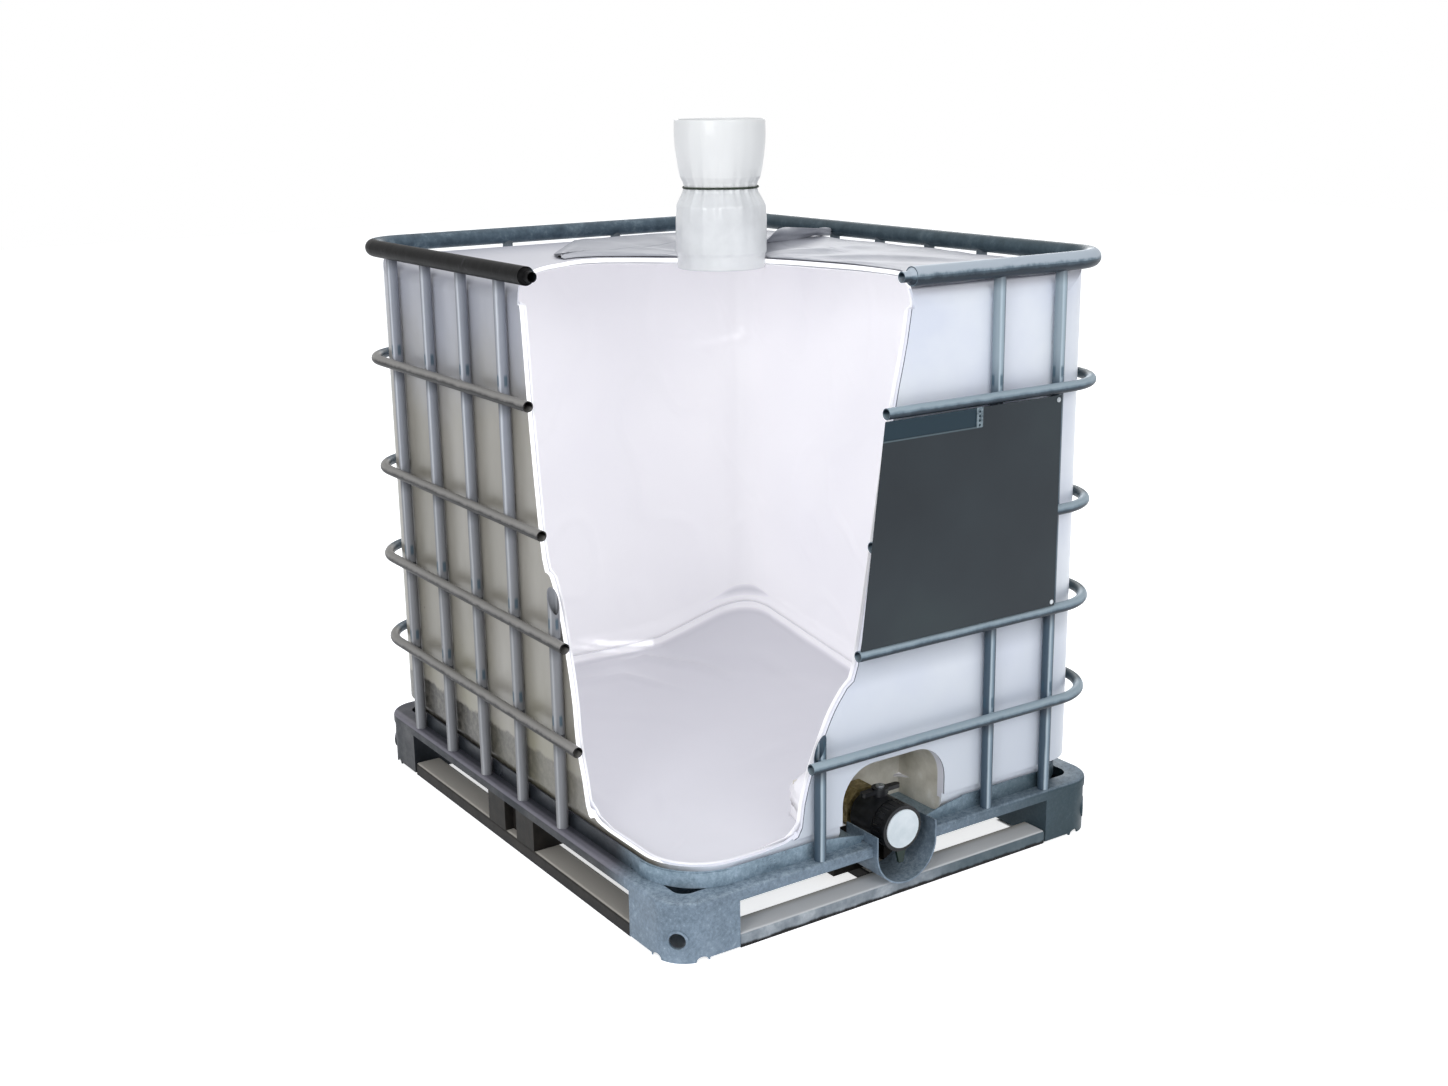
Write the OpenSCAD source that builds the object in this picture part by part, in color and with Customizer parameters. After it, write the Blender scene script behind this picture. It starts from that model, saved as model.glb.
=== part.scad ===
// Sectioned intermediate bulk container: steel pallet, tubular cage, blow-moulded
// bottle with a film liner, fill sleeve on top and a butterfly outlet valve in front.
// Millimetres. Z is up, the outlet faces -Y, the origin is on the ground under the middle.

/* [Pallet] */
// Width of the pallet along X
pallet_w = 1000; // [960:10:1040]
// Length of the pallet along Y
pallet_l = 1200; // [1150:10:1240]
// Height of the rim that the cage stands on
rim_z = 112; // [108:1:120]
// Outer corner radius of the pallet
pallet_r = 65; // [60:1:80]
// Height of the rim channel
rim_h = 20; // [18:1:24]
// Width of the rim channel
rim_w = 40; // [38:1:46]
// Steel sheet thickness of the pallet
sheet = 3; // [2:0.5:3.5]
// Height of the skids on the ground
skid_h = 26; // [22:1:28]
// Width of a skid
skid_w = 58; // [50:1:62]
// Length of a corner foot along X
foot_x = 140; // [120:1:150]
// Length of a corner foot along Y
foot_y = 150; // [130:1:160]
// Length of a middle foot along the edge
mid_foot_len = 190; // [160:1:200]
// Radius of the tie-down hole in each corner foot
tie_hole_r = 15; // [12:0.5:18]

/* [Tray] */
// Height of the tray lip above the rim
lip_h = 30; // [24:1:36]
// Radius of the tray's corners
tray_r = 122; // [110:1:130]
// Radius of the valve guard trough
guard_r = 70; // [66:1:76]
// How far the guard reaches over the pallet edge
guard_proud = 10; // [2:1:11]

/* [Cage] */
// Height of the top rail's centre line
rail_z = 1130; // [1120:1:1150]
// Outer radius of the top rail
rail_r = 17; // [14:0.5:18]
// Height of the first ring under the rail
ring_1_z = 904; // [890:1:915]
// Height of the second ring, behind the label plate
ring_2_z = 674; // [660:1:690]
// Height of the third ring
ring_3_z = 483; // [470:1:495]
// Height of the lowest ring
ring_4_z = 297; // [285:1:310]
// Outer radius of a ring tube
ring_r = 10; // [8:0.5:11]
// How far a ring's centre line stands outside the pallet outline
ring_out = 2; // [0:0.5:4]
// Bend radius of the ring corners
ring_bend = 120; // [100:1:140]
// Outer radius of an upright tube
post_r = 11; // [9:0.5:11.5]
// Distance of an upright's centre from the pallet outline
post_inset = 15; // [14:0.5:15.5]
// Wall of the ring and upright tubes
tube_wall = 1.5; // [1:0.1:2]

/* [Bottle] */
// Height of the bottle's top
bottle_top = 1112; // [1104:1:1120]
// Wall thickness of the bottle
bottle_wall = 8; // [5:0.5:9]
// Thickness of the liner
liner_wall = 3; // [2:0.5:4]
// Radius of the bottle's upright edges inside the tray
bottle_r = 117; // [100:1:122]
// Radius of its upright edges above the tray
body_r = 80; // [72:1:90]
// Radius of the bottle's top edges
shoulder_r = 40; // [30:1:46]
// How far the liner stands proud of the bottle along the section
liner_proud = 6; // [3:0.5:8]

/* [Fill sleeve] */
// Place of the sleeve along X
sleeve_x = 20; // [0:1:40]
// Outer radius of the sleeve
sleeve_r = 88; // [80:1:92]
// Radius of the sleeve at the tie
waist_r = 70; // [62:1:74]
// Height of the tie above the bottle's top
waist_h = 140; // [125:1:150]
// Height of the sleeve's mouth above the tie
cup_h = 128; // [100:1:145]
// Wall of the sleeve
sleeve_wall = 3; // [2:0.5:4]

/* [Outlet] */
// Height of the outlet's axis
outlet_z = 128; // [126:1:134]
// Radius of the outlet's bore
bore_r = 27; // [24:0.5:28]
// Outer radius of the threaded ends
thread_r = 35; // [33.5:0.5:36]
// Outer radius of the valve housing
valve_r = 44; // [42:0.5:46]
// Half length of the valve handle
handle_len = 38; // [30:1:42]

/* [Label plate] */
// Right edge of the label plate
plate_right = 349; // [330:1:350]
// Thickness of the label plate
plate_t = 1.5; // [1:0.1:2]

/* [Hidden] */
$fn = 64;

eps = 0.1;            // overlap of a cutting shape with what it cuts
fit = 0.3;            // gap between pieces that are seated on each other
half_w = pallet_w / 2;
half_l = pallet_l / 2;
seam_t = 1.6;         // corner plates over the tray lip
lip_inset = post_inset + post_r + seam_t + 2 * fit;

// Section through the near corner: the left wall in Y and Z, the front wall in X and Z,
// and the top in X and Y
section_floor = 148;
left_section = [[-330, section_floor], [-273, 160], [-254, 223], [-235, 290], [-228, 361],
    [-214, 433], [-188, 531], [-161, 588], [-134, 616], [-106, 850], [-91, 1048], [-80, 1142]];
front_section = [[-290, section_floor], [-218, 160], [-203, 218], [-188, 270], [-162, 331],
    [-137, 380], [-110, 416], [-86, 452], [-46, 680], [-10, 895], [17, 1018], [34, 1136]];
top_section = [[-476, -87], [-419, -6], [-340, 95], [-255, 155], [-148, 178], [20, 12],
    [95, -70], [144, -240], [152, -320], [150, -385], [124, -429], [71, -506], [44, -540],
    [29, -576]];
cut_depth = 206;      // how deep the wall sections reach in from the pallet outline
far = 800;            // beyond every wall

// Cage
left_posts = [for (q = [0.725, 0.463, 0.202, -0.06, -0.322]) q * half_l];
right_posts = [for (q = [0.733, 0.4, 0.137, -0.132, -0.398, -0.66]) q * half_l];
front_posts = [for (q = [-0.36, 0.428, 0.726]) q * half_w];
back_posts = [for (q = [-0.296, 0.248, 0.74]) q * half_w];
rail_inset = 12;      // rail centre line inside the pallet outline
rail_bend = 90;
rail_wall = 2;
left_proud = 60;      // how far the cut ring tubes stand past the section on the left
rail_left_proud = 67; // the same for the top rail
rail_front_proud = 23;
post_proud = 14;      // and for a cut upright
clip_t = 0.7;         // clip and screw heads on the label plate
plate_ring_inset = plate_t + fit + clip_t;
// Height of each ring, how far it is drawn in and how far its cut end stands out in front
rings = [[ring_1_z, 0, 45], [ring_2_z, plate_ring_inset, 34], [ring_3_z, 0, 30], [ring_4_z, 0, 36]];

// Bottle
bottle_gap = 4;       // from the tray lip
bottle_bottom = rim_z + sheet + fit;
lip_face = lip_inset + sheet;
bottle_a = half_w - lip_face - bottle_gap;
bottle_b = half_l - lip_face - bottle_gap;
base_r = 30;          // radius of the bottle's bottom edges
body_gap = 1.5;       // from the uprights
body_a = half_w - post_inset - post_r - body_gap;
body_b = half_l - post_inset - post_r - body_gap;
body_z = rim_z + lip_h + 15;
pocket_w = 120;       // half width of the outlet pocket
pocket_top = 262;
pocket_r = 70;
pocket_depth = 160;   // from the pallet outline
pocket_back = half_l - pocket_depth;
pocket_roof = 190;
well_w = 70;          // half width of the well under the outlet
well_len = 110;
well_z = outlet_z - valve_r;
liner_gap = 0.5;
sleeve_hole_r = sleeve_r - 2 + fit;
sleeve_foot = bottle_top - bottle_wall - liner_gap - liner_wall - 3;
waist_z = bottle_top + waist_h;
sleeve_top = waist_z + cup_h;

// Outlet, measured along the pipe from the pocket's back wall
stub_len = 30;
gasket_t = 3;
body_start = stub_len + gasket_t + 2 * fit / 3;
collar_t = 6.6;
collar_r = thread_r + 3.3;
neck_r = bore_r + 6;
nut_start = 6;
nut_lip = 6;
nut_end = body_start + collar_t + fit + nut_lip;
nut_r = valve_r + 1.5;
housing_start = 58;
housing_end = 120;
stem_at = 90;
spigot_end = 142;
mouth_len = 30;       // wider mouth of the spigot, for a hose end
mouth_r = bore_r + 1.5;
cap_start = housing_end + 2;
cap_end = 156;
seat_t = 2;
disc_r = bore_r - 0.3;
disc_t = 5;
stem_r = 5;
stem_gap = 0.05;
boss_r = 14;
boss_top = valve_r + 5;
handle_t = 10;
handle_z = boss_top + fit;

// ---------- shapes used by several pieces ----------

// Linear interpolation of the first value of a section at a height
function at_height(line, z, i = 0) =
    i >= len(line) - 2 || z < line[i + 1][1]
        ? line[i][0] + (line[i + 1][0] - line[i][0]) * (z - line[i][1]) / (line[i + 1][1] - line[i][1])
        : at_height(line, z, i + 1);

// Smooth curve through the points of a section
function curve_at(a, b, c, d, t) =
    0.5 * (2 * b + (c - a) * t + (2 * a - 5 * b + 4 * c - d) * t * t
        + (3 * b - a - 3 * c + d) * t * t * t);
function smooth(p, steps = 3) =
    [for (i = [0 : len(p) - 2], k = [0 : steps - 1])
        curve_at(p[max(i - 1, 0)], p[i], p[i + 1], p[min(i + 2, len(p) - 1)], k / steps),
     p[len(p) - 1]];

// A profile carried round a rounded rectangle: x of the profile points outwards
module loop(a, b, r) {
    for (k = [0 : 3]) {
        u = k % 2 == 0 ? a : b;
        v = k % 2 == 0 ? b : a;
        rotate([0, 0, 90 * k]) {
            translate([u, 0, 0]) rotate([90, 0, 0])
                linear_extrude(height = 2 * (v - r), center = true) children();
            translate([u - r, v - r, 0])
                rotate_extrude(angle = 90) translate([r, 0]) children();
        }
    }
}

module ring_profile(r, wall) {
    difference() {
        circle(r = r);
        circle(r = r - wall);
    }
}

module rounded(a, b, r) {
    union() {
        square([2 * a, 2 * (b - r)], center = true);
        square([2 * (a - r), 2 * b], center = true);
        for (x = [-1, 1], y = [-1, 1])
            translate([x * (a - r), y * (b - r)]) circle(r = r);
    }
}

module along_outlet(z = 0) {
    translate([0, z - pocket_back, outlet_z]) rotate([90, 0, 0]) children();
}

module left_cut() {
    translate([-far, 0, 0]) rotate([90, 0, 90])
        linear_extrude(height = far - half_w + cut_depth)
            polygon(concat([[-far, section_floor]], smooth(left_section),
                [[left_section[len(left_section) - 1][0], 2 * far], [-far, 2 * far]]));
}

module front_cut() {
    translate([0, cut_depth - half_l, 0]) rotate([90, 0, 0])
        linear_extrude(height = far)
            polygon(concat([[-far, section_floor]], smooth(front_section),
                [[front_section[len(front_section) - 1][0], 2 * far], [-far, 2 * far]]));
}

module top_cut() {
    translate([0, 0, bottle_top - shoulder_r])
        linear_extrude(height = far)
            polygon(concat([[-far, -far], [-far, top_section[0][1]]], smooth(top_section),
                [[top_section[len(top_section) - 1][0], -far]]));
}

module section_cut() {
    left_cut();
    front_cut();
    top_cut();
}

// ---------- pallet ----------

module skid(length) {
    rotate([90, 0, 0])
        linear_extrude(height = length, center = true)
            difference() {
                union() {
                    translate([-skid_w / 2, 0]) square([skid_w, skid_h - 6]);
                    translate([6 - skid_w / 2, 0]) square([skid_w - 12, skid_h]);
                    for (s = [-1, 1])
                        translate([s * (skid_w / 2 - 6), skid_h - 6]) circle(r = 6);
                }
                translate([sheet - skid_w / 2, -eps]) square([skid_w - 2 * sheet, skid_h - sheet + eps]);
            }
}

module skid_left() {
    color("dimgray") translate([-half_w + 4 + skid_w / 2, 0, 0])
        skid(pallet_l - 2 * foot_y - 2 * fit);
}
module skid_right() {
    color("dimgray") translate([half_w - 4 - skid_w / 2, 0, 0])
        skid(pallet_l - 2 * foot_y - 2 * fit);
}
module skid_front() {
    color("dimgray") translate([0, 4 + skid_w / 2 - half_l, 0]) rotate([0, 0, 90])
        skid(pallet_w - 2 * foot_x - 2 * fit);
}
module skid_back() {
    color("dimgray") translate([0, half_l - 4 - skid_w / 2, 0]) rotate([0, 0, 90])
        skid(pallet_w - 2 * foot_x - 2 * fit);
}
module skid_centre() {
    color("dimgray") skid(pallet_l - 8 - 2 * skid_w - 2 * fit);
}

// Plan of a corner foot as a block, drawn in by i
module foot_plan(i) {
    translate([-foot_x + i, -foot_y + i])
        square([foot_x - pallet_r, foot_y - 2 * i]);
    translate([-foot_x + i, -foot_y + i])
        square([foot_x - 2 * i, foot_y - pallet_r]);
    translate([-pallet_r, -pallet_r]) circle(r = pallet_r - i);
}

module corner_foot() {
    tie_z = 42;
    height = rim_z - rim_h - fit;
    diagonal = pallet_r * (1 - sqrt(0.5));
    difference() {
        union() {
            linear_extrude(height = height)
                difference() {
                    foot_plan(2);
                    foot_plan(2 + sheet);
                }
            // raised collar round the hole
            translate([-diagonal, -diagonal, tie_z]) rotate([0, 90, 45])
                translate([0, 0, -7.5]) cylinder(r = tie_hole_r + 5, h = 6.5);
        }
        translate([-diagonal, -diagonal, tie_z]) rotate([0, 90, 45])
            translate([0, 0, -40]) cylinder(r = tie_hole_r, h = 80);
        // scalloped bottom edge: a lobe at the corner between two notches
        for (s = [-1, 1])
            translate([-diagonal, -diagonal, 0]) rotate([0, 90, 45])
                translate([0, s * 40, -60]) cylinder(r = 9, h = 80);
        translate([-foot_x - eps, -foot_y - eps, -eps]) cube([foot_x - 75, foot_y + 1, 4 + eps]);
        translate([-foot_x - eps, -foot_y - eps, -eps]) cube([foot_x + 1, foot_y - 75, 4 + eps]);
    }
}

module foot_at(sx, sy) {
    color("slategray") translate([sx * half_w, sy * half_l, 0])
        mirror([sx < 0 ? 1 : 0, 0, 0]) mirror([0, sy < 0 ? 1 : 0, 0]) corner_foot();
}
module foot_front_left() { foot_at(-1, -1); }
module foot_front_right() { foot_at(1, -1); }
module foot_back_left() { foot_at(-1, 1); }
module foot_back_right() { foot_at(1, 1); }

// A pressed middle foot: two posts with a groove between, groove towards +X
module mid_foot_plan(i, depth, length) {
    groove = 18;
    half_gap = 24;
    difference() {
        translate([i - depth, i - length / 2]) square([depth - 2 * i, length - 2 * i]);
        translate([-groove - i, -half_gap - i]) square([groove + 2 * i + 1, 2 * (half_gap + i)]);
    }
}

module mid_foot(depth, length, height) {
    translate([0, 0, skid_h + fit])
        linear_extrude(height = height - skid_h - 2 * fit)
            difference() {
                mid_foot_plan(0, depth, length);
                mid_foot_plan(sheet, depth, length);
            }
}

mid_depth = skid_w + 20;
module mid_foot_left() {
    color("slategray") translate([3 - half_w, 0, 0]) rotate([0, 0, 180])
        mid_foot(mid_depth, mid_foot_len, rim_z - rim_h);
}
module mid_foot_right() {
    color("slategray") translate([half_w - 3, 0, 0])
        mid_foot(mid_depth, mid_foot_len, rim_z - rim_h);
}
module mid_foot_back() {
    color("slategray") translate([0, half_l - 3, 0]) rotate([0, 0, 90])
        mid_foot(mid_depth, mid_foot_len, rim_z - rim_h);
}
module mid_foot_front() {
    color("slategray") translate([0, -(half_l - 86), 0]) rotate([0, 0, -90])
        mid_foot(mid_depth - 4, mid_foot_len, outlet_z - nut_r - 3);
}
module mid_foot_centre() {
    color("slategray") translate([mid_depth / 2, 0, 0])
        mid_foot(mid_depth, mid_foot_len, rim_z - rim_h);
}

module pallet_rim() {
    nose = 7;
    color("lightsteelblue")
        difference() {
            translate([0, 0, rim_z - rim_h])
                loop(half_w, half_l, pallet_r)
                    difference() {
                        union() {
                            translate([-rim_w, 0]) square([rim_w, rim_h - nose]);
                            translate([-rim_w, 0]) square([rim_w - nose, rim_h]);
                            translate([-nose, rim_h - nose]) circle(r = nose);
                        }
                        translate([sheet - rim_w, -eps]) square([rim_w - 2 * sheet, rim_h - nose + eps]);
                        translate([sheet - rim_w, -eps])
                            square([rim_w - nose - sheet, rim_h - sheet + eps]);
                        translate([-nose, rim_h - nose]) circle(r = nose - sheet);
                    }
            translate([-guard_r - fit, -half_l - 1, 0])
                cube([2 * (guard_r + fit), rim_w + 2, rim_z + 1]);
        }
}

module deck_beams() {
    beam_w = 60;
    height = rim_h - 2 * fit;
    color("slategray")
        for (k = [-1 : 1])
            translate([0, k * half_l * 0.483, rim_z - rim_h + fit]) rotate([90, 0, 90])
                linear_extrude(height = pallet_w - 2 * rim_w - 2 * fit, center = true)
                    difference() {
                        translate([-beam_w / 2, 0]) square([beam_w, height]);
                        translate([sheet - beam_w / 2, -eps])
                            square([beam_w - 2 * sheet, height - sheet + eps]);
                    }
}

tray_a = half_w - lip_inset;
tray_b = half_l - lip_inset;

module tray() {
    dip = 165;            // half width of the dip in the lip
    shelf = 110;
    color("slategray")
        difference() {
            union() {
                translate([0, 0, rim_z]) linear_extrude(height = sheet) rounded(tray_a, tray_b, tray_r);
                translate([0, 0, rim_z])
                    linear_extrude(height = lip_h)
                        difference() {
                            rounded(tray_a, tray_b, tray_r);
                            rounded(tray_a - sheet, tray_b - sheet, tray_r - sheet);
                        }
            }
            // dip in the lip for the outlet
            translate([0, 60 - tray_b, 0]) rotate([90, 0, 0])
                linear_extrude(height = 100)
                    polygon([[-dip, rim_z + lip_h + 1], [-dip, rim_z + lip_h - 2], [-shelf, rim_z + 20],
                        [-guard_r - fit, rim_z + 12], [-guard_r - fit, 0], [guard_r + fit, 0],
                        [guard_r + fit, rim_z + 12], [shelf, rim_z + 20], [dip, rim_z + lip_h - 2],
                        [dip, rim_z + lip_h + 1]]);
            // opening in the floor for the outlet and its well
            translate([-well_w - 6, -tray_b - 1, 0])
                cube([2 * (well_w + 6), tray_b + 1 - (pocket_back - well_len - 6), rim_z + sheet + 1]);
        }
}

module tray_corner_plates() {
    color("lightslategray")
        intersection() {
            translate([0, 0, rim_z + fit])
                linear_extrude(height = lip_h - 2)
                    difference() {
                        rounded(tray_a + fit + seam_t, tray_b + fit + seam_t, tray_r + fit + seam_t);
                        rounded(tray_a + fit, tray_b + fit, tray_r + fit);
                    }
            for (x = [-1, 1], y = [-1, 1])
                translate([x * half_w, y * half_l, rim_z + lip_h / 2])
                    cube([2 * foot_x, 2 * foot_y, 2 * lip_h], center = true);
        }
}

module valve_guard() {
    centre_z = skid_h + fit + guard_r;
    leg_top = rim_z + 20;
    length = 90;
    color("lightsteelblue")
        translate([0, -half_l - guard_proud + length, 0]) rotate([90, 0, 0])
            linear_extrude(height = length)
                difference() {
                    union() {
                        translate([0, centre_z]) circle(r = guard_r);
                        translate([-guard_r, centre_z]) square([2 * guard_r, leg_top - centre_z]);
                    }
                    translate([0, centre_z]) circle(r = guard_r - sheet);
                    translate([sheet - guard_r, centre_z]) square([2 * (guard_r - sheet), far]);
                }
}

// ---------- cage ----------

module corner_removed(z, proud_left, proud_front) {
    y_end = at_height(left_section, z) - proud_left;
    x_end = at_height(front_section, z) - proud_front;
    difference() {
        children();
        translate([-far, -far, z - 50]) cube([far + x_end, far + y_end, 100]);
    }
}

module top_rail() {
    color("dimgray")
        corner_removed(rail_z, rail_left_proud, rail_front_proud)
            translate([0, 0, rail_z])
                loop(half_w - rail_inset, half_l - rail_inset, rail_bend)
                    ring_profile(rail_r, rail_wall);
}

module end_plug() {
    in_r = rail_r - rail_wall - fit / 3;
    difference() {
        union() {
            translate([0, 0, -20]) cylinder(r = in_r, h = 20);
            cylinder(r1 = in_r, r2 = ring_r - 0.5, h = 7);
            cylinder(r = ring_r - 0.5, h = 22);
        }
        translate([0, 0, -21]) cylinder(r = ring_r - 0.5 - tube_wall, h = 44);
    }
}

module rail_end_plugs() {
    y_end = at_height(left_section, rail_z) - rail_left_proud;
    x_end = at_height(front_section, rail_z) - rail_front_proud;
    color("gray") {
        translate([rail_inset - half_w, y_end, rail_z]) rotate([90, 0, 0]) end_plug();
        translate([x_end, rail_inset - half_l, rail_z]) rotate([0, -90, 0]) end_plug();
    }
}

module cage_ring(ring) {
    color("dimgray")
        corner_removed(ring[0], left_proud, ring[2])
            translate([0, 0, ring[0]])
                loop(half_w + ring_out - ring[1], half_l + ring_out - ring[1], ring_bend)
                    ring_profile(ring_r, tube_wall);
}
module ring_1() { cage_ring(rings[0]); }
module ring_2() { cage_ring(rings[1]); }
module ring_3() { cage_ring(rings[2]); }
module ring_4() { cage_ring(rings[3]); }

// One upright tube, pressed in where the rings cross it; outwards is +X
module post_body(r, grow) {
    difference() {
        translate([0, 0, rim_z]) cylinder(r = r, h = rail_z - rim_z);
        for (ring = rings)
            translate([post_inset + ring_out - ring[1], 0, ring[0]]) rotate([90, 0, 0])
                cylinder(r = ring_r + grow, h = 4 * post_r, center = true);
        translate([post_inset - rail_inset, 0, rail_z]) rotate([90, 0, 0])
            cylinder(r = rail_r + fit / 3, h = 4 * post_r, center = true);
    }
}

module post() {
    difference() {
        post_body(post_r, fit / 3);
        difference() {
            post_body(post_r - tube_wall, fit / 3 + tube_wall);
            translate([0, 0, rim_z]) cube([40, 40, 2 * sheet], center = true);
        }
    }
}

module posts(side, places, reach) {
    for (p = places)
        rotate([0, 0, side]) translate([reach - post_inset, p, 0]) post();
}

module uprights_left() {
    color("silver")
        difference() {
            posts(180, -left_posts, half_w);
            translate([0, -post_proud, 0]) left_cut();
        }
}
module uprights_right() { color("silver") posts(0, right_posts, half_w); }
module uprights_back() { color("silver") posts(90, -back_posts, half_l); }
module uprights_front() {
    color("silver")
        difference() {
            posts(-90, front_posts, half_l);
            translate([-post_proud, 0, 0]) front_cut();
        }
}

// ---------- label plate ----------

plate_back = half_l + ring_out - plate_ring_inset + ring_r + fit;
plate_top = ring_1_z - ring_r - 1;
plate_bottom = ring_3_z + ring_r + 1;
plate_cut = [-111, -62];   // cut left edge of the plate at its bottom and at its top
module label_plate() {
    strip_t = 0.6;
    strip_z = plate_top - 33;
    strip_end = 156;
    color("darkslategray")
        difference() {
            translate([0, -plate_back, 0]) rotate([90, 0, 0])
                linear_extrude(height = plate_t)
                    polygon([[plate_cut[0], plate_bottom], [plate_right, plate_bottom],
                        [plate_right, plate_top], [plate_cut[1], plate_top]]);
            translate([-far, -plate_back - plate_t - 1, strip_z])
                cube([far + strip_end, 1 + strip_t, plate_top - 4 - strip_z]);
            for (z = [plate_bottom + 8, plate_top - 8])
                translate([plate_right - 8, -plate_back, z]) rotate([90, 0, 0])
                    cylinder(r = 2.6, h = 10, center = true);
        }
}

module label_clip() {
    clip_x = 150;
    clip_w = 15;
    color("silver")
        difference() {
            translate([clip_x - clip_w / 2, -plate_back - plate_t - clip_t, plate_top + 1 - 36])
                cube([clip_w, clip_t, 36]);
            for (k = [0 : 3])
                translate([clip_x, -plate_back - plate_t, plate_top - 7 - 8 * k]) rotate([90, 0, 0])
                    cylinder(r = 2.4, h = 10, center = true);
        }
}

module plate_screws() {
    color("silver")
        for (z = [plate_bottom + 8, plate_top - 8])
            translate([plate_right - 8, -plate_back - plate_t, z]) rotate([90, 0, 0]) {
                cylinder(r = 4.5, h = clip_t);
                translate([0, 0, -plate_t - 8]) cylinder(r = 2.5, h = plate_t + 8 + eps);
            }
}

// ---------- bottle and liner ----------

// Pocket in the front wall round the outlet, grown by i
module pocket(i) {
    intersection() {
        rotate([90, 0, 0])
            linear_extrude(height = far)
                union() {
                    translate([-pocket_w - i, -eps]) square([2 * (pocket_w + i), pocket_top - pocket_r]);
                    translate([-pocket_w + pocket_r, -eps])
                        square([2 * (pocket_w - pocket_r), pocket_top + i]);
                    for (s = [-1, 1])
                        translate([s * (pocket_w - pocket_r), pocket_top - pocket_r - eps])
                            circle(r = pocket_r + i);
                }
        translate([-far, 0, 0]) rotate([90, 0, 90])
            linear_extrude(height = 2 * far)
                polygon([[-far, -1], [i - pocket_back, -1], [i - pocket_back, pocket_roof + i],
                    [-half_l, pocket_top + 20 + i], [-far, pocket_top + 20 + i]]);
    }
}

// The bottle's form drawn in by i: a foot inside the tray lip and a wider body above it
module tank(i) {
    low = bottle_bottom + i;
    high = bottle_top - i;
    difference() {
        union() {
            intersection() {
                translate([0, 0, low]) linear_extrude(height = body_z + base_r - low)
                    rounded(bottle_a - i, bottle_b - i, bottle_r - i);
                side_profiles(bottle_a - i, bottle_b - i, low, 2 * far, i);
            }
            intersection() {
                translate([0, 0, body_z + i]) linear_extrude(height = high - body_z - i)
                    rounded(body_a - i, body_b - i, body_r - i);
                side_profiles(body_a - i, body_b - i, -far, high, i);
            }
        }
        pocket(i);
    }
    // well that leads to the outlet
    translate([i - well_w, i - pocket_back, well_z + i])
        cube([2 * (well_w - i), well_len - 2 * i, low + 20 - well_z]);
}

module side_profiles(a, b, low, high, i) {
    intersection() {
        translate([0, far, 0]) rotate([90, 0, 0]) linear_extrude(height = 2 * far)
            side_profile(a, low, high, i);
        translate([-far, 0, 0]) rotate([90, 0, 90]) linear_extrude(height = 2 * far)
            side_profile(b, low, high, i);
    }
}

module side_profile(a, low, high, i) {
    top = shoulder_r - i;
    base = base_r - i;
    middle = (low + high) / 2;
    union() {
        translate([top - a, middle]) square([2 * (a - top), high - middle]);
        translate([base - a, low]) square([2 * (a - base), middle - low]);
        translate([-a, low + base]) square([2 * a, high - low - top - base]);
        for (s = [-1, 1]) {
            translate([s * (a - top), high - top]) circle(r = top);
            translate([s * (a - base), low + base]) circle(r = base);
        }
    }
}

module bottle() {
    color("whitesmoke")
        difference() {
            union() {
                tank(0);
                along_outlet() translate([0, 0, -eps]) cylinder(r = thread_r - 1, h = stub_len + eps);
            }
            tank(bottle_wall);
            along_outlet() translate([0, 0, -30]) cylinder(r = bore_r, h = 90);
            translate([sleeve_x, 0, bottle_top - 30]) cylinder(r = sleeve_hole_r, h = 60);
            section_cut();
        }
}

module liner() {
    color("lavender")
        difference() {
            tank(bottle_wall + liner_gap);
            tank(bottle_wall + liner_gap + liner_wall);
            along_outlet() translate([0, 0, -30]) cylinder(r = bore_r, h = 90);
            translate([sleeve_x, 0, bottle_top - 30]) cylinder(r = sleeve_hole_r, h = 60);
            translate([-liner_proud, -liner_proud, liner_proud / 2]) section_cut();
        }
}

// Half outline of the sleeve, drawn in by t, its ends moved out by d
module sleeve_outline(t, d) {
    polygon(concat([[0, sleeve_foot - d]],
        [for (q = [[sleeve_r - 2, sleeve_foot - d], [sleeve_r - 2, bottle_top + 3],
            [sleeve_r + 1, bottle_top + 0.13 * waist_h], [sleeve_r, waist_z - 0.44 * waist_h],
            [waist_r + 8, waist_z - 0.14 * waist_h], [waist_r, waist_z - 2], [waist_r, waist_z + 2],
            [waist_r + 8, waist_z + 0.16 * cup_h], [sleeve_r - 3, waist_z + 0.44 * cup_h],
            [sleeve_r, waist_z + 0.62 * cup_h], [sleeve_r, sleeve_top + d]])
            [q[0] - t, q[1]]],
        [[0, sleeve_top + d]]));
}

module fill_sleeve() {
    color("white")
        translate([sleeve_x, 0, 0])
            rotate_extrude()
                difference() {
                    sleeve_outline(0, 0);
                    sleeve_outline(sleeve_wall, 1);
                }
}

module sleeve_tie() {
    color("black")
        translate([sleeve_x, 0, waist_z])
            rotate_extrude() translate([waist_r + fit + 2, 0]) circle(r = 2, $fn = 24);
}

// ---------- outlet ----------

module outlet_gasket() {
    color("black") along_outlet()
        translate([0, 0, stub_len + fit / 3])
            difference() {
                cylinder(r = thread_r - 1, h = gasket_t);
                translate([0, 0, -1]) cylinder(r = bore_r, h = gasket_t + 2);
            }
}

module union_nut() {
    color("darkgoldenrod") along_outlet()
        difference() {
            translate([0, 0, nut_start]) rotate([0, 0, 22.5])
                cylinder(r = nut_r, h = nut_end - nut_start, $fn = 8);
            translate([0, 0, nut_start - 1])
                cylinder(r = thread_r - 1 + fit, h = body_start - nut_start + 1 - fit);
            translate([0, 0, body_start - fit])
                cylinder(r = collar_r + fit, h = collar_t + 2 * fit);
            translate([0, 0, nut_start]) cylinder(r = neck_r + fit, h = 60);
        }
}

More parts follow.
